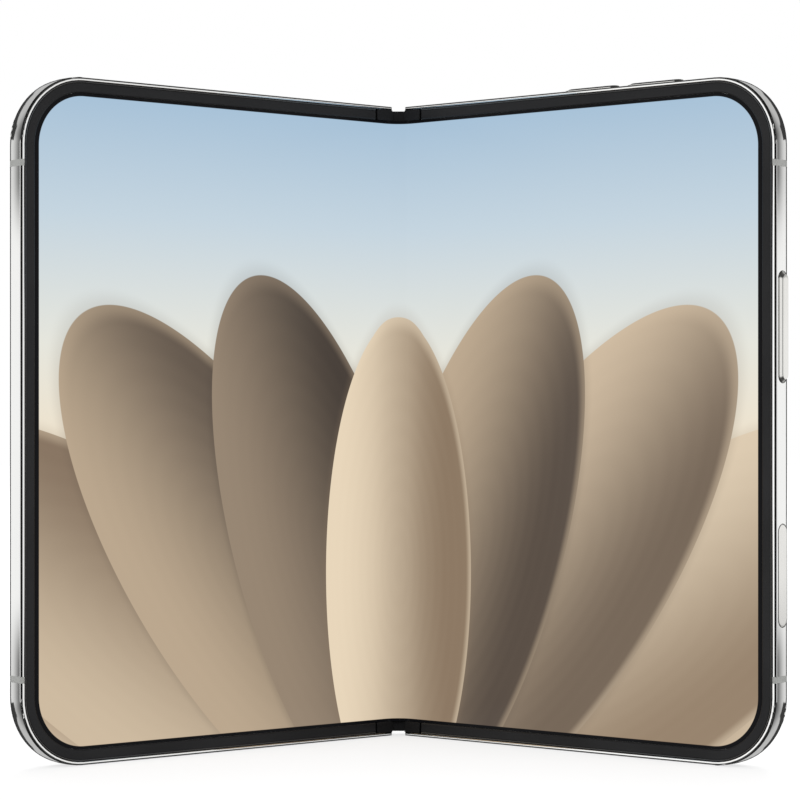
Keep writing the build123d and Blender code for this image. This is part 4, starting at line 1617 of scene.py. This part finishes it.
class Wall(Enum):
    """Wall of the right half that a key sits in."""

    SIDE = 0
    TOP = 1


@dataclass(frozen=True)
class Key:
    """One key: a pill-shaped cap on a stem with a flange.

    Attributes:
        node: its CAD node; its body is named after it.
        wall: the wall that it sits in.
        length: length of the cap.
        proud: whether it stands out of the wall.
    """

    node: str
    wall: Wall
    length: float
    proud: bool = True


@dataclass
class Keys:
    """Power key, control pad and volume keys.

    Attributes:
        flat: flat frame of the right half.
        form: outer form of a half.
        width: width of a cap.
        sunk: depth of the caps' undersides below the wall's face.
        facets: width, shift to the rear and rise of each ring of a proud cap, from its edge inward.
        flush_facets: the same for a flush cap.
        foot: height of a proud cap's straight edge over the wall's face.
        flush_foot: the same for a flush cap.
        stem: width of the stem.
        stem_step: how much shorter than the cap the stem is at each end.
        flange: length that the flange adds at each end, its depth and its thickness.
        steps: segments of half a pill's end.
        crease: angle in degrees above which an edge stays sharp.
        keys: the four keys.
    """

    flat: FlatFrame
    form: Outline
    width: float = 3.0 * MM
    sunk: float = 0.6 * MM
    facets: tuple[tuple[float, float, float], ...] = (
        (0.07 * MM, 0.0, 0.06 * MM),
        (0.46 * MM, 0.2 * MM, 0.22 * MM),
        (0.05 * MM, 0.0, 0.09 * MM),
        (0.30 * MM, 0.0, 0.022 * MM),
        (0.30 * MM, 0.0, 0.008 * MM),
    )
    flush_facets: tuple[tuple[float, float, float], ...] = (
        (0.11 * MM, 0.0, 0.09 * MM),
        (0.30 * MM, 0.0, 0.01 * MM),
    )
    foot: float = 0.10 * MM
    flush_foot: float = -0.10 * MM
    stem: float = 2.6 * MM
    stem_step: float = 0.4 * MM
    flange: tuple[float, float, float] = (0.6 * MM, 1.65 * MM, 0.35 * MM)
    steps: int = 12
    crease: float = 14.0
    keys: tuple[Key, ...] = (
        Key("power_button", Wall.SIDE, 19.3 * MM),
        Key("control_pad", Wall.SIDE, 17.8 * MM, proud=False),
        Key("volume_up_button", Wall.TOP, 11.7 * MM),
        Key("volume_down_button", Wall.TOP, 11.7 * MM),
    )

    def _place(self, key: Key) -> Matrix:
        """Matrix from a key's own X along, Y towards the rear and Z out of the wall."""
        low, high = self.flat.extent(key.node)
        middle = (low + high) / 2
        if key.wall is Wall.SIDE:
            axes, origin = ((0, 0, 1), (0, 1, 0), (1, 0, 0)), (self.form.outer, middle.y, middle.z)
        else:
            axes, origin = ((1, 0, 0), (0, 1, 0), (0, 0, 1)), (middle.x, middle.y, self.form.height)
        turned = Matrix(axes).transposed().to_4x4()
        return self.flat.matrix @ Matrix.Translation(origin) @ turned

    def _pill(self, bm: bmesh.types.BMesh, length: float, width: float, level: float) -> bmesh.types.BMFace:
        """Draws a flat pill.

        Args:
            bm: mesh that takes it.
            length: its length.
            width: its width.
            level: its place on the key's Z.

        Returns:
            Its face.
        """
        segments = 4 * self.steps
        half_step = Matrix.Rotation(math.pi / segments, 4, "Z")
        verts = bmesh.ops.create_circle(
            bm, cap_ends=True, cap_tris=False, segments=segments, radius=width / 2, matrix=half_step
        )["verts"]
        for vert in verts:
            vert.co += Vector((math.copysign((length - width) / 2, vert.co.x), 0, level))
        return verts[0].link_faces[0]

    def _cap(self, bm: bmesh.types.BMesh, key: Key) -> None:
        """Builds the cap with its facets."""
        foot, facets = (self.foot, self.facets) if key.proud else (self.flush_foot, self.flush_facets)
        underside = self._pill(bm, key.length, self.width, -self.sunk)
        top = thicken(bm, underside, Vector((0, 0, self.sunk + foot)))
        for width, shift, rise in facets:
            bmesh.ops.inset_region(
                bm, faces=[top], thickness=width, depth=0, use_even_offset=True, use_boundary=True
            )
            bmesh.ops.translate(bm, vec=(0, shift, rise), verts=top.verts)

    def _stem(self, bm: bmesh.types.BMesh, key: Key) -> None:
        """Builds the stem and the flange behind the wall."""
        overhang, depth, thick = self.flange
        stem_face = self._pill(bm, key.length - 2 * self.stem_step, self.stem, -self.sunk)
        thicken(bm, stem_face, Vector((0, 0, self.sunk - depth)))
        flange_face = self._pill(bm, key.length + 2 * overhang, self.stem, -depth)
        thicken(bm, flange_face, Vector((0, 0, -thick)))

    def build(self, palette: Palette) -> None:
        """Builds all four keys."""
        for key in self.keys:
            bm = bmesh.new()
            self._cap(bm, key)
            self._stem(bm, key)
            piece = finished(bm, key.node + "_cap", self._place(key), palette[Finish.KEY_METAL], self.crease)
            placed(piece, key.node + "_body", Finish.POLISHED_METAL, key.node)


@dataclass
class Backs:
    """Rear glass and plateau of the right half, and cover glass of the left half with its camera.

    Attributes:
        flat: flat frame of the left half.
        ease: radius of the glasses' eased edges.
        rim: outer and inner radius of the ring around the cover camera.
        proud: how far the ring stands out of the glass; the eye stands out half as far.
        crease: angle in degrees above which an edge of ring or eye stays sharp.
    """

    flat: FlatFrame
    ease: float = 0.12 * MM
    rim: tuple[float, float] = (1.95 * MM, 1.6 * MM)
    proud: float = 0.02 * MM
    crease: float = 30.0

    def _cover_camera(self, palette: Palette) -> None:
        """Builds the ring and the coated eye of the cover camera, set into the cover glass."""
        low, high = self.flat.extent("cover_camera")
        middle = (low + high) / 2
        face = self.flat.extent("cover_glass")[1].y
        outer, inner = self.rim
        proud, foot = self.proud, face - 3 * self.proud
        ring = [
            (outer, foot, 0.0),
            (outer, face + proud, proud / 2),
            (inner, face + proud, proud / 2),
            (inner, foot, 0.0),
        ]
        eye = [
            (0.0, foot, 0.0),
            (inner, foot, 0.0),
            (inner, face + proud / 4, 0.0),
            (inner / 2, face + proud / 2, 0.0),
            (0.0, face + proud / 2, 0.0),
        ]
        for name, profile, finish in (
            ("cover_camera_rim", ring, Finish.BLACK_PLASTIC),
            ("cover_camera_eye", eye, Finish.LENS_COATING),
        ):
            bm = lathe(profile, [middle])
            on_half(bm, name, self.flat, palette, finish, slot=Finish.DARK_GLASS, crease=self.crease)

    def build(self, palette: Palette) -> None:
        """Takes over both glasses and the camera plateau and adds the cover camera."""
        Refined("right_back_glass", "rear_panel", Finish.REAR_GLASS, self.ease).build(palette)
        Refined("cover_glass", "cover_panel", Finish.DARK_GLASS, self.ease).build(palette)
        Refined("camera_plateau", "camera_deck", Finish.INNER_ALUMINIUM, 0.0).build(palette)
        self._cover_camera(palette)


@dataclass(frozen=True)
class Cameras:
    """Rear cameras and flash on the right half.

    Attributes:
        flat: flat frame of the right half.
        bore: inner radius of a ring.
        rim: width of a ring's polished top.
        step: depth of a ring's inner step.
        glass: radius of a lens glass.
        well: radii of the well around the eye, at its mouth and its foot.
        sink: depth of the well.
        eye: height of the coated eye's crown over the well's foot.
        dome: shares of the foot's radius and of the eye's height at the corners of its dome.
        dome_round: rounding of those corners, as a share of the foot's radius.
        edge: rounding of the crisp edges.
        ridges: rings of the flash lens.
        groove: depth of its grooves.
        steps: segments of the rings' and glasses' full turn.
        crease: angle in degrees above which an edge of ring or glass stays sharp.
        flash_crease: the same for the flash lens.
    """

    flat: FlatFrame
    bore: float = 5.2 * MM
    rim: float = 0.55 * MM
    step: float = 0.22 * MM
    glass: float = 5.15 * MM
    well: tuple[float, float] = (3.1 * MM, 2.3 * MM)
    sink: float = 0.32 * MM
    eye: float = 0.26 * MM
    dome: tuple[tuple[float, float], ...] = ((0.72, 0.62), (0.3, 1.0))
    dome_round: float = 0.2
    edge: float = 0.08 * MM
    ridges: int = 5
    groove: float = 0.1 * MM
    steps: int = 96
    crease: float = 30.0
    flash_crease: float = 20.0

    def _centres(self, node: str) -> tuple[list[Vector], Vector, Vector]:
        """Middles of the two round forms of a node, and its box."""
        low, high = self.flat.extent(node)
        radius = (high.z - low.z) / 2
        middle = (low + high) / 2
        return [Vector((x, 0, middle.z)) for x in (low.x + radius, high.x - radius)], low, high

    def _rings(self, palette: Palette) -> None:
        """Builds the polished rings."""
        centres, low, high = self._centres("camera_lens_rings")
        outer = (high.z - low.z) / 2
        profile = [
            (self.bore, low.y, 0.0),
            (outer, low.y, 0.0),
            (outer, high.y, 3 * self.edge),
            (outer - self.rim, high.y, self.edge),
            (outer - self.rim - self.step / 2, high.y - self.step / 2, self.edge / 2),
            (self.bore, high.y - self.step, self.edge / 2),
        ]
        bm = lathe(profile, centres, self.steps)
        metal, node = Finish.POLISHED_METAL, "camera_lens_rings"
        on_half(bm, "camera_rims", self.flat, palette, metal, node, crease=self.crease)

    def _glasses(self, palette: Palette) -> None:
        """Builds the dark lens glasses with their wells, and the coated eyes in them."""
        centres, low, high = self._centres("camera_lens_glasses")
        mouth, foot = self.well
        floor = high.y - self.sink
        plate = [
            (0.0, low.y, 0.0),
            (self.glass, low.y, 0.0),
            (self.glass, high.y, self.edge),
            (mouth, high.y, self.edge / 2),
            (mouth - self.sink / 2, high.y - self.sink / 2, self.edge / 2),
            (foot + self.sink / 2, high.y - self.sink / 2, self.edge / 2),
            (foot, floor, 0.0),
            (0.0, floor, 0.0),
        ]
        bend = foot * self.dome_round
        eye = [
            (0.0, floor, 0.0),
            (foot - self.edge, floor, 0.0),
            *((foot * out, floor + self.eye * up, bend) for out, up in self.dome),
            (0.0, floor + self.eye, 0.0),
        ]
        for name, profile, finish, nodes in (
            ("camera_glasses", plate, Finish.DARK_GLASS, ("camera_lens_glasses",)),
            ("camera_eyes", eye, Finish.LENS_COATING, ()),
        ):
            bm, slot = lathe(profile, centres, self.steps), Finish.DARK_GLASS
            on_half(bm, name, self.flat, palette, finish, *nodes, slot=slot, crease=self.crease)

    def _flash(self, palette: Palette) -> None:
        """Builds the flash lens with its rings."""
        low, high = self.flat.extent("flash_window")
        middle = (low + high) / 2
        radius = (high.z - low.z) / 2
        pitch = radius / (self.ridges + 1)
        profile = [(0.0, low.y, 0.0), (radius, low.y, 0.0), (radius, high.y, self.edge / 2)]
        for ring in range(self.ridges):
            place = radius - pitch * (ring + 1)
            profile += [(place + pitch / 4, high.y, 0.0), (place, high.y - self.groove, 0.0)]
        profile.append((0.0, high.y - self.groove / 2, 0.0))
        bm, clear = lathe(profile, [middle]), Finish.CLEAR_WINDOW
        on_half(bm, "flash_lens", self.flat, palette, clear, "flash_window", crease=self.flash_crease)

    def build(self, palette: Palette) -> None:
        """Builds rings, glasses and flash."""
        self._rings(palette)
        self._glasses(palette)
        self._flash(palette)


@dataclass(frozen=True)
class SocketContacts:
    """Gilded contacts on both faces of the socket's tongue.

    Attributes:
        flat: flat frame of the right half.
        count: contacts on one face.
        pitch: distance between two contacts.
        size: width, depth and length of one contact.
        setback: distance from the tongue's free end.
        sink: how deep a contact lies in the tongue.
        crease: angle in degrees above which an edge stays sharp.
    """

    flat: FlatFrame
    count: int = 12
    pitch: float = 0.5 * MM
    size: tuple[float, float, float] = (0.27 * MM, 0.08 * MM, 3.2 * MM)
    setback: float = 0.5 * MM
    sink: float = 0.05 * MM
    crease: float = 30.0

    def build(self, palette: Palette) -> None:
        """Builds the contacts, with their four long edges rounded."""
        low, high = self.flat.extent("usb_c_tongue")
        middle = (low + high) / 2
        bm = bmesh.new()
        for face in (low.y + self.sink - self.size[1] / 2, high.y - self.sink + self.size[1] / 2):
            for index in range(self.count):
                x = middle.x + (index - (self.count - 1) / 2) * self.pitch
                z = low.z + self.setback + self.size[2] / 2
                place = Matrix.Translation((x, face, z)) @ Matrix.Diagonal((*self.size, 1.0))
                made = bmesh.ops.create_cube(bm, size=1.0, matrix=place)
                edges = dict.fromkeys(edge for vert in made["verts"] for edge in vert.link_edges)
                long = sorted(edges, key=lambda edge: edge.calc_length())[-4:]
                soften(bm, long, self.size[1] / 3, 2)
        on_half(bm, "socket_contacts", self.flat, palette, Finish.COPPER, crease=self.crease)


@dataclass(frozen=True)
class Cables:
    """Flexible cables across the spine, split in the middle so that each side follows its half.

    Attributes:
        node: the CAD node.
        still: share of a side, from the middle outward, meant to stay with the spine; not used.
    """

    node: str = "flex_cables"
    still: float = 0.25

    def _side(self, side: Side, palette: Palette) -> bpy.types.Object:
        """Builds the cables of one side."""
        bm = taken_over(self.node, 0.0)
        bmesh.ops.bisect_plane(
            bm, geom=[*bm.verts, *bm.edges, *bm.faces], dist=MERGE_DISTANCE,
            plane_co=(0, 0, 0), plane_no=(side.value, 0, 0), clear_inner=True,
        )
        bmesh.ops.holes_fill(bm, edges=[edge for edge in bm.edges if edge.is_boundary])
        piece = finished(bm, f"{side.word}_flex", None, palette[Finish.CIRCUIT_BOARD], CRISP)
        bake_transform(piece)
        return piece

    def build(self, palette: Palette) -> None:
        """Builds the cables of both sides."""
        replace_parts(self._side(Side.RIGHT, palette), self.node)
        self._side(Side.LEFT, palette)


@dataclass(frozen=True)
class Surroundings:
    """Bright and dark areas that polished metal mirrors, by direction in degrees.

    A bearing is the angle from the camera's side, the same to the left and the right.  A height is
    the angle above or below the horizon.  A span holds two angles and the values at them.

    Attributes:
        front: half width of the dark area on the camera's side.
        back: bearing from which it is dark behind the phone.
        ceiling: height from which it is dark.
        soft: half width of the edges of these three.
        shoulder: bearing from which the dark rear area starts above the sides.
        shoulder_soft: half width of its edge, there and along the arch.
        side_end: bearing from which it starts beside the phone, and the half width of its edge there.
        side_height: height up to which the sides are clear of it, and the half width of its edge there.
        arch: heights of its upper edge at its start, its middle and its end.
        arch_runs: bearings over which that edge rises and falls.
        clear: height up to which the sides are bright all over, and the half width of its edge.
        near: span of the sides' brightness by bearing, below the clear height.
        dim: the same above it.
        dimmer: span of the factor by which the sides dim with height, above it.
        ahead: span of the light in front of the sides, by bearing.
        ahead_height: heights between which that light starts.
        gain: span of the front's brightness from left to right, by the direction's X.
        gain_end: bearings between which that gain starts.
        dark: span of the dark areas' brightness, by bearing.
    """

    front: float = 44.0
    back: float = 167.0
    ceiling: float = 46.0
    soft: float = 2.0
    shoulder: float = 118.0
    shoulder_soft: float = 1.0
    side_end: tuple[float, float] = (127.2, 0.7)
    side_height: tuple[float, float] = (9.5, 0.5)
    arch: tuple[float, float, float] = (20.0, 28.0, 18.0)
    arch_runs: tuple[float, float] = (24.0, 17.0)
    clear: tuple[float, float] = (4.6, 0.8)
    near: tuple[float, ...] = (92.0, 98.0, 0.6, 0.95)
    dim: tuple[float, ...] = (92.0, 124.0, 0.10, 0.72)
    dimmer: tuple[float, ...] = (8.0, 16.0, 1.0, 0.72)
    ahead: tuple[float, ...] = (84.0, 92.0, 1.0, 0.0)
    ahead_height: tuple[float, float] = (12.0, 9.0)
    gain: tuple[float, ...] = (-0.2, 0.2, 1.08, 0.9)
    gain_end: tuple[float, float] = (90.0, 84.0)
    dark: tuple[float, ...] = (60.0, 100.0, 0.012, 0.045)

    def _rear(self, graph: Graph, bearing: Any, height: Any) -> bpy.types.NodeSocket:
        """Mask of the dark rear area: 0 inside it."""
        start, middle, end = self.arch
        run, fall = self.arch_runs
        rise = graph.span(bearing, self.shoulder, self.shoulder + run, start, middle)
        drop = graph.span(bearing, self.back - fall, self.back, 0.0, middle - end)
        over = graph.calc("SUBTRACT", height, graph.calc("SUBTRACT", rise, drop))
        above = graph.above(over, 0.0, self.shoulder_soft)
        ahead = graph.below(bearing, self.shoulder, self.shoulder_soft)
        low = graph.below(height, *self.side_height)
        beside = graph.calc("MULTIPLY", low, graph.below(bearing, *self.side_end))
        return graph.calc("MAXIMUM", graph.calc("MAXIMUM", above, ahead), beside)

    def _sides(self, graph: Graph, bearing: Any, height: Any) -> bpy.types.NodeSocket:
        """Brightness of the lit area beside the phone."""
        dim = graph.calc("MULTIPLY", graph.span(bearing, *self.dim), graph.span(height, *self.dimmer))
        near = graph.span(bearing, *self.near)
        share = graph.above(height, *self.clear)
        mixed = graph.calc("MULTIPLY_ADD", share, graph.calc("SUBTRACT", dim, near), near)
        low = graph.span(height, *self.ahead_height)
        return graph.calc("MAXIMUM", mixed, graph.calc("MULTIPLY", graph.span(bearing, *self.ahead), low))

    def brightness(self, graph: Graph) -> bpy.types.NodeSocket:
        """Adds the nodes that give the brightness of a direction.

        Args:
            graph: graph of the world.

        Returns:
            The brightness.
        """
        x, y, z = graph.split(graph.coordinates("Generated"))
        turn = graph.calc("ARCTAN2", x, graph.calc("MULTIPLY", y, -1.0))
        bearing = graph.calc("ABSOLUTE", graph.calc("DEGREES", turn))
        height = graph.calc("ABSOLUTE", graph.calc("DEGREES", graph.calc("ARCSINE", z)))
        more = graph.calc("SUBTRACT", graph.span(x, *self.gain), 1.0)
        gain = graph.calc("MULTIPLY_ADD", graph.span(bearing, *self.gain_end), more, 1.0)
        level = graph.calc("MULTIPLY", self._sides(graph, bearing, height), gain)
        for mask in (
            graph.above(bearing, self.front, self.soft),
            graph.below(bearing, self.back, self.soft),
            graph.below(height, self.ceiling, self.soft),
            self._rear(graph, bearing, height),
        ):
            level = graph.calc("MULTIPLY", level, mask)
        return graph.calc("MAXIMUM", level, graph.span(bearing, *self.dark))


@dataclass(frozen=True)
class Lamp:
    """One soft lamp: its name, where it hangs in metres, its size and its power in watts."""

    name: str
    place: tuple[float, float, float]
    size: float
    power: float


@dataclass
class Studio:
    """Camera, floor, lamps and the surroundings that the metal mirrors.

    Attributes:
        target_height: height of the camera's axis.
        distance: how far the camera stands in front of the origin.
        lens: focal length in millimetres.
        sensor: width of the sensor in millimetres.
        clip: nearest and farthest distance that the camera sees.
        shift: lens shift that frames the object as the photograph does.
        floor_size: width of the floor.
        air: brightness of the surroundings where they only light the object.
        floor_share: how much of the floor's brightness comes from the lamps and the air.
        floor_glow: how bright the floor is by itself, near the object and far from it.
        floor_fade: distances from the object between which the glow grows.
        floor_roughness: roughness of the floor.
        around: the surroundings that polished metal mirrors.
        lamps: the lamps.
    """

    target_height: float = 60.3 * MM
    distance: float = 472.7 * MM
    lens: float = 116.37
    sensor: float = 36.0
    clip: tuple[float, float] = (0.01, 50.0)
    shift: tuple[float, float] = (0.0019, 0.0265)
    floor_size: float = 6.0
    air: float = 0.62
    floor_share: float = 0.24
    floor_glow: tuple[float, float] = (0.72, 0.9)
    floor_fade: tuple[float, float] = (0.15, 1.2)
    floor_roughness: float = 0.9
    around: Surroundings = field(default_factory=Surroundings)
    lamps: tuple[Lamp, ...] = (
        Lamp("left_softbox", (-1.1, -0.9, 0.9), 0.8, 12.0),
        Lamp("right_softbox", (1.1, -0.7, 0.8), 0.8, 9.0),
        Lamp("top_softbox", (0.0, 0.3, 1.4), 0.9, 8.0),
        Lamp("rear_softbox", (0.2, 1.3, 0.9), 0.9, 15.0),
    )

    def _camera(self) -> None:
        """Places the camera."""
        data = bpy.data.cameras.new("photo_camera")
        data.lens, data.sensor_width = self.lens, self.sensor
        data.shift_x, data.shift_y = self.shift
        data.clip_start, data.clip_end = self.clip
        camera = bpy.data.objects.new("photo_camera", data)
        camera.location = (0, -self.distance, self.target_height)
        camera.rotation_euler = (math.pi / 2, 0, 0)
        bpy.context.scene.collection.objects.link(camera)
        bpy.context.scene.camera = camera

    def _seen(self, graph: Graph) -> bpy.types.NodeSocket:
        """1 where the camera sees it straight or through glass, or else 0."""
        path = graph.add("ShaderNodeLightPath").outputs
        return graph.calc("MAXIMUM", path["Is Camera Ray"], path["Is Transmission Ray"])

    def _world(self) -> None:
        """White surroundings, softer where they only light the object and shaped where metal mirrors them."""
        world = bpy.data.worlds.new("studio_air")
        world.use_nodes = True
        world.node_tree.nodes.clear()
        graph = Graph(world.node_tree)
        plain = graph.calc("MULTIPLY_ADD", self._seen(graph), 1.0 - self.air, self.air)
        shaped = graph.calc("SUBTRACT", self.around.brightness(graph), plain)
        mirrored = graph.add("ShaderNodeLightPath").outputs["Is Glossy Ray"]
        level = graph.calc("MULTIPLY_ADD", mirrored, shaped, plain)
        back = graph.add("ShaderNodeBackground", {"Color": rgba(grey(1.0)), "Strength": level})
        graph.add("ShaderNodeOutputWorld", {0: back.outputs[0]})
        bpy.context.scene.world = world

    def _floor(self) -> None:
        """Pale floor that keeps the object's shadow; metal mirrors the surroundings in its place."""
        bm = bmesh.new()
        bmesh.ops.create_grid(bm, x_segments=1, y_segments=1, size=self.floor_size / 2)
        mesh = bpy.data.meshes.new("floor")
        bm.to_mesh(mesh)
        bm.free()
        floor = bpy.data.objects.new("floor", mesh)
        bpy.context.scene.collection.objects.link(floor)
        material, graph, shader = new_material("pale_floor")
        paint = {"Base Color": rgba(grey(self.floor_share)), "Roughness": self.floor_roughness}
        graph.feed(shader, {**paint, "Specular IOR Level": 0.0})
        away = graph.add("ShaderNodeVectorMath", {0: graph.coordinates("Object")}, operation="LENGTH")
        own = graph.span(away.outputs["Value"], *self.floor_fade, *self.floor_glow)
        strength = graph.calc("MULTIPLY", self._seen(graph), own)
        glow = graph.add("ShaderNodeEmission", {"Color": rgba(grey(1.0)), "Strength": strength})
        both = graph.add("ShaderNodeAddShader", {0: shader.outputs[0], 1: glow.outputs[0]})
        output = next(node for node in graph.tree.nodes if node.bl_idname == "ShaderNodeOutputMaterial")
        graph.feed(output, {0: both.outputs[0]})
        mesh.materials.append(material)
        floor.visible_glossy = False

    def _hang(self, lamp: Lamp) -> None:
        """Adds one lamp, which looks at the phone."""
        data = bpy.data.lights.new(lamp.name, "AREA")
        data.shape, data.size, data.energy = "DISK", lamp.size, lamp.power
        light = bpy.data.objects.new(lamp.name, data)
        light.location = lamp.place
        aim = Vector((0, 0, self.target_height)) - light.location
        light.rotation_euler = aim.to_track_quat("-Z", "Y").to_euler()
        light.visible_glossy = False
        bpy.context.scene.collection.objects.link(light)

    def build(self) -> None:
        """Sets the whole stage."""
        self._camera()
        self._world()
        self._floor()
        for lamp in self.lamps:
            self._hang(lamp)


@dataclass
class Phone:
    """The whole phone.

    Attributes:
        lit_inset: inset of the lit picture from the phone's outline, across and up.
    """

    lit_inset: tuple[float, float] = (3.6 * MM, 3.4 * MM)

    def build(self) -> None:
        """Builds every sub-assembly in order."""
        flats = {side: FlatFrame.of(side, FRAME) for side in Side}
        low, high = flats[Side.LEFT].extent("left_frame")
        form = Outline(high.x, high.z - low.z, high.y)
        reach = (form.outer - self.lit_inset[0], form.height / 2 - self.lit_inset[1])
        palette = Palette(2 * form.outer, form.height, reach)
        palette.dress_nodes(FRAME["nodes"].values())
        for part in (
            InnerScreen(flats, form),
            Surround(flats, form),
            Metalwork(flats, form),
            Keys(flats[Side.RIGHT], form),
            Backs(flats[Side.LEFT]),
            Cameras(flats[Side.RIGHT]),
            SocketContacts(flats[Side.RIGHT]),
            Cables(),
        ):
            part.build(palette)
            log.info("built %s", type(part).__name__)


def main() -> None:
    """Builds the phone and its stage."""
    Phone().build()
    Studio().build()
    bpy.context.scene.view_settings.view_transform = "Standard"
    bpy.context.view_layer.update()


if __name__ == "__main__":
    logging.basicConfig(level=logging.INFO, format="%(name)s: %(message)s")
    main()
